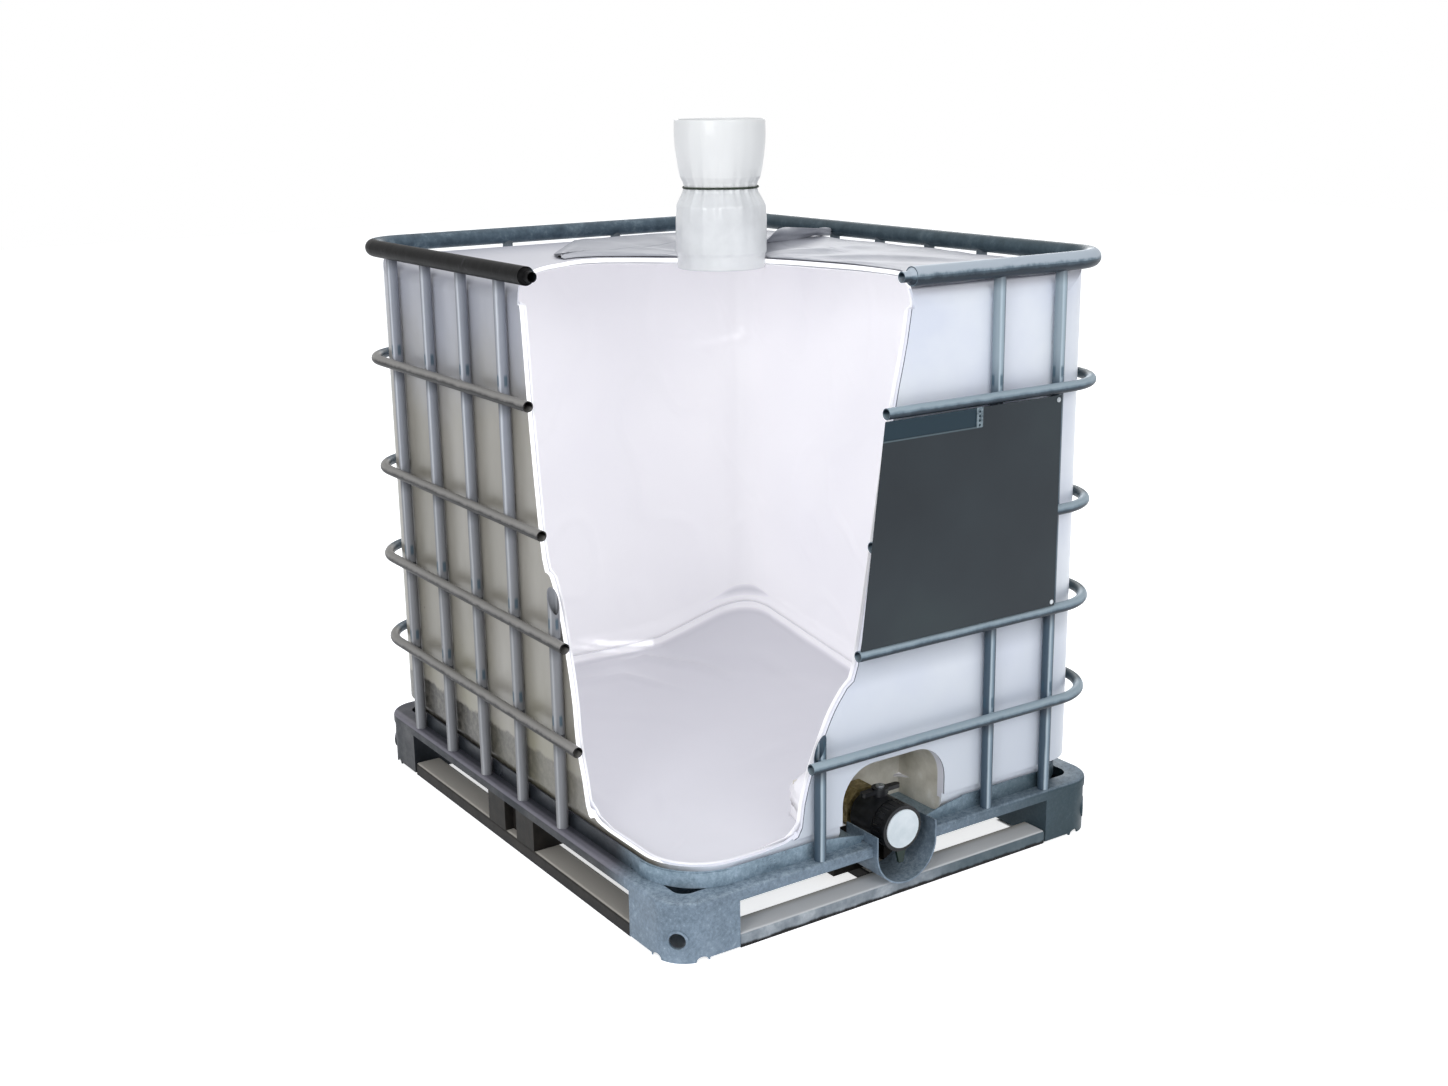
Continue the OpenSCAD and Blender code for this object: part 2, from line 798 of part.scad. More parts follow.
module valve_body() {
    color([0.06, 0.06, 0.07]) along_outlet()
        difference() {
            union() {
                translate([0, 0, body_start]) cylinder(r = collar_r, h = collar_t);
                translate([0, 0, body_start]) cylinder(r = neck_r, h = housing_start - body_start + 1);
                translate([0, 0, housing_start]) cylinder(r = valve_r, h = housing_end - housing_start);
                translate([0, 0, housing_end - 1]) cylinder(r = thread_r, h = spigot_end - housing_end + 1);
                translate([0, 0, stem_at]) rotate([-90, 0, 0]) cylinder(r = boss_r, h = boss_top);
            }
            translate([0, 0, body_start - 1]) cylinder(r = bore_r, h = spigot_end);
            translate([0, 0, spigot_end - mouth_len]) cylinder(r = mouth_r, h = mouth_len + 1);
            translate([0, 0, stem_at - 20]) cylinder(r = bore_r + seat_t, h = 40);
            translate([0, 0, stem_at]) rotate([-90, 0, 0]) {
                translate([0, 0, -36]) cylinder(r = stem_r + stem_gap, h = 120);
                translate([0, 0, boss_top - 4]) cylinder(r = stem_r + 4, h = 10);
            }
        }
}

module valve_seat() {
    color("dimgray") along_outlet()
        difference() {
            translate([0, 0, stem_at - 20 + fit / 2])
                difference() {
                    cylinder(r = bore_r + seat_t - fit / 6, h = 40 - fit);
                    translate([0, 0, -1]) cylinder(r = bore_r, h = 42);
                }
            translate([0, 0, stem_at]) rotate([90, 0, 0])
                cylinder(r = stem_r + fit, h = 100, center = true);
        }
}

module valve_stem() {
    color("silver") along_outlet()
        translate([0, 0, stem_at]) rotate([-90, 0, 0])
            translate([0, 0, -34]) cylinder(r = stem_r, h = 34 + handle_z + handle_t - 1);
}

module valve_disc() {
    color("gray") along_outlet()
        difference() {
            union() {
                translate([0, 0, stem_at - disc_t / 2]) cylinder(r = disc_r, h = disc_t);
                translate([0, 0, stem_at]) rotate([90, 0, 0])
                    cylinder(r = stem_r + 3, h = 2 * disc_r - 8, center = true);
            }
            translate([0, 0, stem_at]) rotate([90, 0, 0])
                cylinder(r = stem_r + stem_gap, h = 100, center = true);
        }
}

module stem_seal() {
    color("black") along_outlet()
        translate([0, 0, stem_at]) rotate([-90, 0, 0]) translate([0, 0, boss_top - 4 + fit])
            difference() {
                cylinder(r = stem_r + 4 - fit, h = 3);
                translate([0, 0, -1]) cylinder(r = stem_r + fit / 2, h = 5);
            }
}

module valve_handle() {
    color([0.08, 0.08, 0.09]) along_outlet()
        translate([0, 0, stem_at]) rotate([-90, 0, 0]) translate([0, 0, handle_z])
            difference() {
                union() {
                    cylinder(r = boss_r + 2, h = handle_t);
                    translate([-handle_len, -7, 0]) cube([2 * handle_len, 14, handle_t - 2]);
                    for (s = [-1, 1])
                        translate([s * handle_len, 0, 0]) cylinder(r = 7, h = handle_t - 2);
                }
                translate([0, 0, -1]) cylinder(r = stem_r + stem_gap, h = handle_t + 2);
            }
}

module handle_screw() {
    color("silver") along_outlet()
        translate([0, 0, stem_at]) rotate([-90, 0, 0]) translate([0, 0, handle_z + handle_t + fit / 3])
            difference() {
                cylinder(r = stem_r + 3, h = 4);
                translate([0, 0, 2]) cylinder(r = 3, h = 4, $fn = 6);
            }
}

module outlet_cap() {
    lug = 24;
    color([0.05, 0.05, 0.06]) along_outlet()
        difference() {
            union() {
                translate([0, 0, cap_start]) cylinder(r = valve_r, h = cap_end - cap_start);
                // pull tab under the cap
                translate([0, 0, cap_end - 8]) linear_extrude(height = 6)
                    polygon([[-12, -valve_r + 6], [12, -valve_r + 6], [5, -valve_r - lug], [-5, -valve_r - lug]]);
            }
            translate([0, 0, cap_start - 1])
                cylinder(r = thread_r + fit, h = spigot_end - cap_start + gasket_t + 1);
            translate([0, 0, cap_end - 9]) cylinder(r = thread_r + 2, h = 20);
            for (k = [0 : 23])
                rotate([0, 0, 15 * k]) translate([valve_r + 1.2, 0, cap_start - 1])
                    cylinder(r = 2.4, h = cap_end - cap_start - 8, $fn = 24);
        }
}

module cap_disc() {
    color("white") along_outlet()
        translate([0, 0, cap_end - 9 + fit / 3]) cylinder(r = thread_r + 2 - fit / 2, h = 11);
}

module cap_gasket() {
    color("black") along_outlet()
        translate([0, 0, spigot_end + fit / 3])
            difference() {
                cylinder(r = thread_r, h = gasket_t - fit);
                translate([0, 0, -1]) cylinder(r = mouth_r + 2.5, h = gasket_t + 2);
            }
}

skid_left();
skid_right();
skid_front();
skid_back();
skid_centre();
foot_front_left();
foot_front_right();
foot_back_left();
foot_back_right();
mid_foot_left();
mid_foot_right();
mid_foot_front();
mid_foot_back();
mid_foot_centre();
pallet_rim();
deck_beams();
tray();
tray_corner_plates();
valve_guard();
top_rail();
rail_end_plugs();
ring_1();
ring_2();
ring_3();
ring_4();
uprights_left();
uprights_right();
uprights_front();
uprights_back();
label_plate();
label_clip();
plate_screws();
bottle();
liner();
fill_sleeve();
sleeve_tie();
outlet_gasket();
union_nut();
valve_body();
valve_seat();
valve_stem();
valve_disc();
stem_seal();
valve_handle();
handle_screw();
outlet_cap();
cap_disc();
cap_gasket();
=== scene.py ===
"""Looks of the sectioned bulk container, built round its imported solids.

The frame is in metres and the outlet faces -Y. The film's shapes are worked out in millimetres.
"""
import math

import bpy
import numpy as np
from mathutils import Matrix, Vector, noise


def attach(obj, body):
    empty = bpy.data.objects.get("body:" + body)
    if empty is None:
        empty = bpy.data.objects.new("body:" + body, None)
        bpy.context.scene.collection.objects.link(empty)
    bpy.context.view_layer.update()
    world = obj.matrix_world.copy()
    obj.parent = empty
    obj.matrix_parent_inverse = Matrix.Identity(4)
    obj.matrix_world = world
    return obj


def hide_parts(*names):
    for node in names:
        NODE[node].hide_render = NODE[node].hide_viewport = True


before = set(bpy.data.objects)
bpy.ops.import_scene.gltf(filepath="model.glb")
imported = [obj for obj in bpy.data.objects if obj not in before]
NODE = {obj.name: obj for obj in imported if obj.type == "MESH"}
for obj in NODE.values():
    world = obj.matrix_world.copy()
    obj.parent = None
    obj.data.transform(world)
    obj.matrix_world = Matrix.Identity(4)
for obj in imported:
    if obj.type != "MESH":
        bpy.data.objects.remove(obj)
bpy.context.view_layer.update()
MM = 0.001

# height and set-in of the cage's rings from the top one down, and the rail's height (mm)
RINGS = ((904, 0), (674, 2.5), (483, 0), (297, 0))
RAIL_HEIGHT = 1130


def into_scene(name, data):
    """A new object that shows the data."""
    made = bpy.data.objects.new(name, data)
    bpy.context.scene.collection.objects.link(made)
    return made


def fill(node, **values):
    """Sets a node's sockets by name, with an underscore for a space."""
    for socket, value in values.items():
        node.inputs[socket.replace("_", " ")].default_value = value
    return node


# ---------------------------------------------------------------- camera

PHOTO_W = 1448
FOCAL_PX = 1724.04
SENSOR = 36.0
CAMERA_PLACE = (-1.8793, -2.8292, 1.4634)
AZIMUTH, ELEVATION, ROLL = math.radians(-33.82), math.radians(15.23), math.radians(-0.84)


def place_camera():
    level = math.cos(ELEVATION)
    back = Vector((math.sin(AZIMUTH) * level, -math.cos(AZIMUTH) * level, math.sin(ELEVATION)))
    right = (-back).cross(Vector((0, 0, 1))).normalized()
    up = right.cross(-back)
    turned_right = math.cos(ROLL) * right + math.sin(ROLL) * up
    turned_up = -math.sin(ROLL) * right + math.cos(ROLL) * up
    data = bpy.data.cameras.new("photo_camera")
    data.sensor_fit = "HORIZONTAL"
    data.sensor_width = SENSOR
    data.lens = SENSOR * FOCAL_PX / PHOTO_W
    data.clip_end = 100
    camera = into_scene("photo_camera", data)
    turn = Matrix((turned_right, turned_up, back)).transposed().to_4x4()
    camera.matrix_world = Matrix.Translation(CAMERA_PLACE) @ turn
    bpy.context.scene.camera = camera
    bpy.context.scene.view_settings.view_transform = "Standard"


# ---------------------------------------------------------------- studio

def soft_lamp(name, place, target, size, power):
    data = bpy.data.lights.new(name, "AREA")
    data.shape = "RECTANGLE"
    data.size, data.size_y = size
    data.energy = power
    lamp = into_scene(name, data)
    aim = (Vector(target) - Vector(place)).to_track_quat("-Z", "Y")
    lamp.matrix_world = Matrix.Translation(place) @ aim.to_matrix().to_4x4()


def seen_directly(tree):
    """1 for a ray from the camera, a mirror or glass, and 0 for light on the object."""
    path = tree.nodes.new("ShaderNodeLightPath")
    seen = path.outputs["Is Camera Ray"]
    for also in ("Is Glossy Ray", "Is Transmission Ray"):
        both = tree.nodes.new("ShaderNodeMath")
        both.operation = "MAXIMUM"
        tree.links.new(seen, both.inputs[0])
        tree.links.new(path.outputs[also], both.inputs[1])
        seen = both.outputs[0]
    return seen


def build_studio():
    world = bpy.data.worlds.new("studio")
    bpy.context.scene.world = world
    world.use_nodes = True
    tree = world.node_tree
    tree.nodes.clear()
    lit = fill(tree.nodes.new("ShaderNodeBackground"), Color=(0.93, 0.96, 1.0, 1), Strength=0.56)
    white = fill(tree.nodes.new("ShaderNodeBackground"), Color=(1, 1, 1, 1), Strength=1.0)
    mix = tree.nodes.new("ShaderNodeMixShader")
    out = tree.nodes.new("ShaderNodeOutputWorld")
    tree.links.new(seen_directly(tree), mix.inputs[0])
    tree.links.new(lit.outputs[0], mix.inputs[1])
    tree.links.new(white.outputs[0], mix.inputs[2])
    tree.links.new(mix.outputs[0], out.inputs[0])

    mesh = bpy.data.meshes.new("studio_floor")
    half = 14.0
    corners = [(-half, -half, 0), (half, -half, 0), (half, half, 0), (-half, half, 0)]
    mesh.from_pydata(corners, [], [(0, 1, 2, 3)])
    floor = into_scene("studio_floor", mesh)
    # the floor glows white for the camera, with painted shade that greys it under the pallet and a painted
    # shadow that darkens it inside its corner feet
    f = Finish("pale_floor", rough=0.9, Emission_Color=(1, 1, 1, 1))
    f.put("Base Color", f.colours(f.clouds(1.5, 2), [(0.3, (236, 238, 240)), (0.7, (240, 241, 242))]))
    x, y = f.sum_of(f.axis("X"), 0, "ABSOLUTE"), f.sum_of(f.axis("Y"), 0, "ABSOLUTE")
    under = f.times(f.level(x, 0.25, 0.46, 1, 0), f.level(y, 0.28, 0.50, 1, 0))
    painted_foot_shadow = f.times(f.times(f.level(x, 0.355, 0.365), f.level(y, 0.455, 0.465)),
                      f.times(f.level(x, 0.490, 0.494, 1, 0), f.level(y, 0.590, 0.594, 1, 0)))
    painted_foot_shadow = f.times(painted_foot_shadow, f.level(f.sum_of(x, y), 0.985, 0.995, 1, 0))
    glow = f.times(f.level(under, 0, 1, 0.72, 0.26), f.level(painted_foot_shadow, 0, 1, 1, 0))
    f.put("Emission Strength", f.times(seen_directly(f.tree), glow))
    mesh.materials.append(f.material)

    soft_lamp("key_lamp", (-0.6, -5.2, 3.2), (0, 0, 0.6), (3.2, 2.4), 80)
    soft_lamp("inside_lamp", (-4.2, -2.9, 2.3), (0.3, 0.0, 0.6), (1.6, 1.4), 62)
    soft_lamp("fill_lamp", (-5.0, 0.4, 2.6), (0, 0, 0.6), (2.5, 2.0), 22)
    soft_lamp("top_lamp", (0.3, 0.6, 5.0), (0, 0, 0.8), (3.0, 3.0), 50)
    soft_lamp("back_lamp", (4.0, 4.2, 2.8), (0, 0, 0.6), (2.5, 2.0), 60)


# ---------------------------------------------------------------- finishes

FINISH = {}


class Finish:
    """A procedural material on Object coordinates, and short words for its nodes."""

    def __init__(self, name, rough=0.5, metal=0.0, **sockets):
        self.material = bpy.data.materials.new(name)
        self.material.use_nodes = True
        FINISH[name] = self.material
        self.tree = self.material.node_tree
        self.shader = fill(self.tree.nodes["Principled BSDF"], Roughness=rough, Metallic=metal, **sockets)
        self.place = self.add("TexCoord").outputs["Object"]

    def add(self, kind, **values):
        return fill(self.tree.nodes.new("ShaderNode" + kind), **values)

    def link(self, a, b):
        self.tree.links.new(a, b)

    def put(self, socket, value):
        self.link(value, self.shader.inputs[socket])

    def stretched(self, x, y, z):
        node = self.add("Mapping", Scale=(x, y, z))
        self.link(self.place, node.inputs["Vector"])
        return node.outputs[0]

    def clouds(self, scale, detail=3.0, rough=0.55, where=None):
        node = self.add("TexNoise", Scale=scale, Detail=detail, Roughness=rough)
        self.link(where or self.place, node.inputs["Vector"])
        return node.outputs["Fac"]

    def cells(self, scale):
        """Distance from the nearest of many scattered spots."""
        node = self.add("TexVoronoi", Scale=scale)
        self.link(self.place, node.inputs["Vector"])
        return node.outputs["Distance"]

    def level(self, value, low, high, start=0.0, end=1.0):
        node = self.add("MapRange", From_Min=low, From_Max=high, To_Min=start, To_Max=end)
        node.interpolation_type = "SMOOTHSTEP"
        self.link(value, node.inputs["Value"])
        return node.outputs["Result"]

    def sum_of(self, a, b, operation="ADD"):
        node = self.add("Math")
        node.operation = operation
        for k, v in enumerate((a, b)):
            if isinstance(v, (int, float)):
                node.inputs[k].default_value = v
            else:
                self.link(v, node.inputs[k])
        return node.outputs[0]

    def times(self, a, b):
        return self.sum_of(a, b, "MULTIPLY")

    def split(self, value, name):
        node = self.add("SeparateXYZ")
        self.link(value, node.inputs[0])
        return node.outputs[name]

    def axis(self, name):
        return self.split(self.place, name)

    def facing(self, name):
        return self.split(self.add("NewGeometry").outputs["Normal"], name)

    def colours(self, value, stops):
        node = self.add("ValToRGB")
        ramp = node.color_ramp
        for k, (at, colour) in enumerate(stops):
            stop = ramp.elements[k] if k < 2 else ramp.elements.new(at)
            stop.position = at
            stop.color = (*linear(colour), 1)
        self.link(value, node.inputs[0])
        return node.outputs["Color"]

    def blended(self, value, a, b):
        node = self.add("Mix")
        node.data_type = "RGBA"
        self.link(value, node.inputs["Factor"])
        for socket, colour in ((node.inputs[6], a), (node.inputs[7], b)):
            if isinstance(colour, tuple):
                socket.default_value = (*linear(colour), 1)
            else:
                self.link(colour, socket)
        return node.outputs[2]

    def band(self, value, low, high, soft):
        """1 where a value lies between two limits, with soft edges."""
        return self.times(self.level(value, low - soft, low), self.level(value, high, high + soft, 1, 0))

    def most(self, *values):
        total = values[0]
        for value in values[1:]:
            total = self.sum_of(total, value, "MAXIMUM")
        return total

    def stroke(self, points, width):
        """1 along a line through the points (mm), falling to 0 at a width from it."""
        near = []
        for a, b in zip(points, points[1:]):
            a, b = Vector(a) * MM, Vector(b) * MM
            step = b - a
            rel = self.vector("SUBTRACT", self.place, a)
            along = self.sum_of(self.vector("DOT_PRODUCT", rel, step / step.length_squared), 0)
            along.node.use_clamp = True
            foot = self.vector("MULTIPLY", step, self.vector("SCALE", Vector((1, 1, 1)), None, along))
            near.append(self.level(self.vector("DISTANCE", rel, foot), 0.1 * width * MM, width * MM, 1, 0))
        return self.most(*near)

    def vector(self, operation, a, b, scale=None):
        node = self.add("VectorMath")
        node.operation = operation
        for k, v in enumerate((a, b)):
            if isinstance(v, Vector):
                node.inputs[k].default_value = v
            elif v is not None:
                self.link(v, node.inputs[k])
        if scale is not None:
            self.link(scale, node.inputs["Scale"])
        return node.outputs["Value" if operation in ("DOT_PRODUCT", "DISTANCE") else "Vector"]

    def relief(self, value, strength, depth):
        node = self.add("Bump", Strength=strength, Distance=depth)
        self.link(value, node.inputs["Height"])
        last = self.shader.inputs["Normal"]
        if last.links:
            self.link(last.links[0].from_socket, node.inputs["Normal"])
        self.link(node.outputs[0], last)


def linear(colour):
    """A colour of 0 to 255 a channel as the shader's own values."""
    return tuple((c / 255 / 12.92) if c < 10.3 else ((c / 255 + 0.055) / 1.055) ** 2.4 for c in colour)


def zinc(name, dark, mid, light, speckle=0.5, rough=0.5, metal=0.3):
    """Galvanised steel: soft mottling with fine bright grains, a painted highlight on the tops, painted shade
    near black on the left, and teal to the right.
    """
    f = Finish(name, rough=rough, metal=metal, Specular_IOR_Level=0.3)
    x, y, z, up = f.axis("X"), f.axis("Y"), f.axis("Z"), f.facing("Z")
    blotch, fine = f.clouds(11, 6, 0.7), f.clouds(130, 5, 0.8)
    mixed = f.sum_of(f.times(blotch, 0.55), f.times(fine, 0.45))
    base = f.colours(mixed, [(0.34, dark), (0.5, mid), (0.66, light)])
    base = f.blended(f.level(fine, 0.60, 0.72, 0, speckle), base, (196, 206, 214))
    # painted highlight: faces that look up turn paler where light falls on them
    base = f.blended(f.times(f.level(up, 0.5, 0.9, 0, 0.35), f.level(fine, 0.35, 0.6)), base, (172, 188, 198))
    teal = f.times(f.level(x, 0.0, 0.44, 0, 0.88), f.level(up, 0.4, 0.8, 1, 0.45))
    base = f.blended(teal, base, (26, 48, 54))
    # painted shade: near black on the left side, with painted light on its tops and a painted pale outer edge
    painted_left_shade = f.times(f.level(x, -0.43, -0.36, 1, 0), f.level(y, -0.48, -0.36, 0, 1))
    painted_left_shade_colour = f.colours(f.clouds(16, 5, 0.7), [(0.35, (6, 6, 8)), (0.6, (26, 24, 29)), (0.8, (54, 51, 60))])
    painted_left_shade_colour = f.blended(f.level(up, 0.5, 0.85, 0, 0.8), painted_left_shade_colour, (62, 60, 68))
    painted_outer_edge_light = f.times(f.level(x, -0.488, -0.480, 0.8, 0), f.level(up, 0.1, 0.5))
    painted_left_shade_colour = f.blended(painted_outer_edge_light, painted_left_shade_colour, (122, 119, 129))
    base = f.blended(f.times(painted_left_shade, 0.93), base, painted_left_shade_colour)
    f.put("Base Color", base)
    f.put("Roughness", f.level(blotch, 0.3, 0.7, rough - 0.12, rough + 0.14))
    f.relief(fine, 0.2, 0.0008)
    f.relief(f.clouds(30, 2), 0.15, 0.002)


# roughness, metal, mottling (scale, detail, softness) and its colours, then grain (scale, detail) and its
# relief (strength, depth)
PLAIN_FINISHES = {
    "tie_cord": (0.7, 0.0, (300, 2), [(0.35, (16, 26, 16)), (0.65, (38, 52, 36))], (600, 2), (0.5, 0.0006)),
    "zinc_screw": (0.32, 0.85, (120, 3), [(0.35, (140, 146, 152)), (0.65, (196, 200, 204))],
                   (500, 2), (0.2, 0.0003)),
    "dull_brass": (0.42, 0.5, (70, 5, 0.7), [
        (0.3, (92, 80, 48)), (0.5, (140, 124, 82)), (0.75, (198, 182, 140))], (300, 3), (0.3, 0.0006)),
    "clip_zinc": (0.45, 0.5, (160, 3), [(0.35, (72, 86, 94)), (0.65, (128, 142, 150))],
                  (400, 2), (0.3, 0.0004)),
    "black_rubber": (0.75, 0.0, (150, 3), [(0.35, (20, 20, 20)), (0.7, (38, 38, 38))],
                     (500, 2), (0.3, 0.0004)),
    "cap_plastic": (0.38, 0.0, (30, 3), [(0.35, (206, 216, 222)), (0.7, (226, 233, 238))],
                    (200, 2), (0.12, 0.0006)),
    "disc_plastic": (0.45, 0.0, (80, 3), [(0.35, (82, 84, 86)), (0.7, (108, 110, 112))],
                     (300, 2), (0.15, 0.0004)),
}


def make_finishes():
    zinc("pallet_zinc", (84, 98, 111), (114, 130, 145), (148, 164, 180), 0.4)
    zinc("deck_zinc", (92, 110, 124), (128, 147, 161), (168, 186, 202), 0.1, 0.36, 0.4)

    # ground skids: painted pale light on the tops, grey front faces, painted shade brown black on the sides,
    # and a painted black shadow along the bottom edge
    f = Finish("skid_steel", rough=0.6, metal=0.1, Specular_IOR_Level=0.25)
    x, y, z, up = f.axis("X"), f.axis("Y"), f.axis("Z"), f.facing("Z")
    mottle = f.clouds(24, 5, 0.7)
    # painted shade on the sides, lit grey on the front faces
    side = f.colours(mottle, [(0.35, (14, 13, 12)), (0.6, (34, 31, 28)), (0.8, (54, 50, 46))])
    front = f.colours(mottle, [(0.3, (112, 122, 130)), (0.55, (150, 158, 166)), (0.75, (188, 194, 200))])
    front = f.blended(f.level(x, 0.02, 0.16, 0, 0.8), front, (66, 84, 92))
    on_front = f.level(y, -0.56, -0.54, 1, 0)
    base = f.blended(on_front, side, front)
    # painted light on the skids' tops
    painted_top_light = f.blended(on_front, (190, 185, 177), (226, 227, 228))
    tall = f.level(z, 0.032, 0.036, 1, 0)
    base = f.blended(f.times(f.level(up, 0.6, 0.9), tall), base, painted_top_light)
    # painted shadow, black, along the bottom edge
    low = f.level(f.sum_of(z, f.times(f.sum_of(mottle, -0.5), 0.012)), 0.004, 0.009, 1, 0)
    f.put("Base Color", f.blended(low, base, (12, 12, 14)))
    f.relief(f.clouds(160, 3), 0.3, 0.0008)

    # cage tubes: on the left a painted pale top over painted black shade, with the left rail in painted
    # near-black shade; blue grey behind; paler in front, with painted light on the tops and painted shade
    # underneath
    f = Finish("ring_steel", rough=0.46, metal=0.1, Specular_IOR_Level=0.22)
    x, y, z, up = f.axis("X"), f.axis("Y"), f.axis("Z"), f.facing("Z")
    on_front, on_left = f.level(y, -0.575, -0.545, 1, 0), f.level(x, -0.485, -0.462, 1, 0)
    on_rail = f.level(z, 1.0, 1.1)
    streak = f.clouds(34, 5, 0.7)
    turned = f.sum_of(up, f.times(f.sum_of(streak, -0.5), 0.7))
    behind = f.colours(streak, [(0.3, (54, 68, 78)), (0.55, (78, 94, 106)), (0.75, (112, 128, 138))])
    behind = f.blended(f.times(f.level(x, 0.42, 0.5), 0.7), behind, (42, 58, 62))
    turned_up = f.level(turned, -1, 1)
    # painted light on the left tubes' tops over painted black shade underneath
    painted_left_light_and_shade = f.colours(turned_up, [
        (0.46, (14, 14, 15)), (0.55, (46, 45, 45)), (0.66, (102, 100, 99)), (0.86, (138, 136, 133))])
    # painted shade: the left rail near black
    painted_rail_shade = f.colours(streak, [(0.4, (9, 9, 10)), (0.62, (18, 18, 19)), (0.8, (58, 58, 62))])
    painted_left_light_and_shade = f.blended(on_rail, painted_left_light_and_shade, painted_rail_shade)
    # painted light on the front tubes' tops and painted shade underneath, with a painted highlight along the
    # rail's top
    front = f.colours(turned_up, [
        (0.25, (36, 46, 56)), (0.46, (74, 88, 99)), (0.62, (116, 133, 145)), (0.85, (152, 168, 178))])
    front = f.blended(f.times(on_rail, f.level(turned, 0.05, 0.4)), front, (172, 182, 192))
    f.put("Base Color", f.blended(on_front, f.blended(on_left, behind, painted_left_light_and_shade), front))
    f.put("Specular IOR Level", f.level(f.times(on_left, on_rail), 0, 1, 0.22, 0.06))
    f.relief(f.clouds(240, 3), 0.25, 0.0005)
    f.relief(f.clouds(22, 3), 0.25, 0.003)

    # uprights: painted shade on the far side and a painted highlight on the near side, with painted shade
    # under each ring and in the dimples above the rings
    f = Finish("upright_steel", rough=0.42, metal=0.1, Specular_IOR_Level=0.25)
    x, y, z, side, across = f.axis("X"), f.axis("Y"), f.axis("Z"), f.facing("Y"), f.facing("X")
    on_front, on_left = f.level(y, -0.575, -0.560, 1, 0), f.level(x, -0.475, -0.462, 1, 0)
    streak = f.clouds(26, 5, 0.7, f.stretched(1, 1, 0.12))
    turned = f.sum_of(side, f.times(f.sum_of(streak, -0.5), 0.5))
    # painted highlight on the near side and painted shade on the far side of the left uprights
    left = f.colours(f.level(turned, -1, 1), [
        (0.04, (136, 140, 150)), (0.17, (204, 208, 216)), (0.30, (156, 159, 167)),
        (0.58, (132, 135, 143)), (0.76, (42, 44, 52))])
    left = f.blended(f.level(z, 0.42, 0.95, 0.5, 0), left, (112, 110, 106))
    turned = f.sum_of(across, f.times(f.sum_of(streak, -0.5), 0.5))
    # painted light on the left of the front uprights and painted shade on their right
    front = f.colours(f.level(turned, -1, 1), [
        (0.08, (64, 80, 94)), (0.2, (176, 190, 200)), (0.42, (122, 140, 154)), (0.66, (92, 110, 124)),
        (0.9, (48, 62, 74))])
    paler_above = f.times(f.level(z, 0.88, 0.98, 0, 0.5), f.level(turned, 0.25, 0.6, 1, 0.2))
    front = f.blended(paler_above, front, (182, 198, 208))
    plain = f.colours(streak, [(0.3, (104, 116, 124)), (0.5, (132, 146, 154)), (0.72, (164, 176, 184))])
    base = f.blended(on_front, f.blended(on_left, plain, left), front)
    shades = [f.level(z, RAIL_HEIGHT * MM - 0.045, RAIL_HEIGHT * MM - 0.010)]
    # painted shade in the dimples above the rings
    painted_dimple_shades = []
    for height, set_in in RINGS:
        at = height * MM
        shades.append(f.times(f.level(z, at - 0.045, at - 0.010), f.level(z, at, at + 0.002, 1, 0)))
        if not set_in:
            painted_dimple_shades.append(f.band(z, at + 0.022, at + 0.034, 0.008))
    base = f.blended(f.times(f.most(*shades), 0.72), base, (48, 50, 56))
    outward = f.most(f.times(across, -1), f.times(side, -1))
    painted_dimple_shade = f.times(f.most(*painted_dimple_shades), f.level(outward, 0.93, 0.98))
    f.put("Base Color", f.blended(f.times(painted_dimple_shade, 0.75), base, (58, 84, 100)))
    f.relief(f.clouds(240, 3), 0.2, 0.0005)

    # blow-moulded polyethylene: bluish white; on the left dusty and in painted shade, with a dirty foot;
    # white with a painted glow where it is cut
    f = Finish("bottle_plastic", rough=0.32)
    x, y, z = f.axis("X"), f.axis("Y"), f.axis("Z")
    nx, ny, nz = f.facing("X"), f.facing("Y"), f.facing("Z")
    outside_left = f.times(f.level(nx, -0.85, -0.35, 1, 0), f.level(x, -0.3, -0.2, 1, 0))
    clean = f.colours(f.clouds(5, 4, 0.5), [(0.35, (220, 225, 238)), (0.65, (233, 237, 244))])
    hanging = f.stretched(1, 1, 0.4)
    # the left face's dust and painted shade, blue grey high up and beige low down
    blue = f.colours(f.clouds(3, 5, 0.6, hanging), [(0.3, (150, 152, 160)), (0.7, (182, 184, 194))])
    beige = f.colours(f.clouds(4, 5, 0.6, hanging), [
        (0.3, (134, 130, 120)), (0.55, (152, 148, 140)), (0.75, (168, 165, 159))])
    dust_and_painted_shade = f.blended(f.level(f.sum_of(z, f.times(f.clouds(5, 3), 0.3)), 0.95, 1.22), beige, blue)
    foot_tone = f.level(z, 0.16, 0.52, 0.75, 0)
    dust_and_painted_shade = f.blended(f.times(foot_tone, f.level(f.clouds(5, 4), 0.4, 0.65)), dust_and_painted_shade, (142, 138, 116))
    base = f.blended(outside_left, clean, dust_and_painted_shade)
    # painted shade greys the faces that look up near the top
    base = f.blended(f.times(f.level(nz, 0.35, 0.95), f.level(z, 1.0, 1.05)), base, (198, 198, 207))
    # the front is greyer low down, with soft shade under the plate's ring and over the recess
    on_front = f.level(ny, -0.6, -0.2, 1, 0)
    base = f.blended(f.times(on_front, f.level(z, 0.26, 0.50, 0.75, 0)), base, (196, 203, 214))
    strip = f.times(f.band(z, 0.448, 0.478, 0.045), on_front)
    base = f.blended(f.times(strip, 0.45), base, (138, 146, 158))
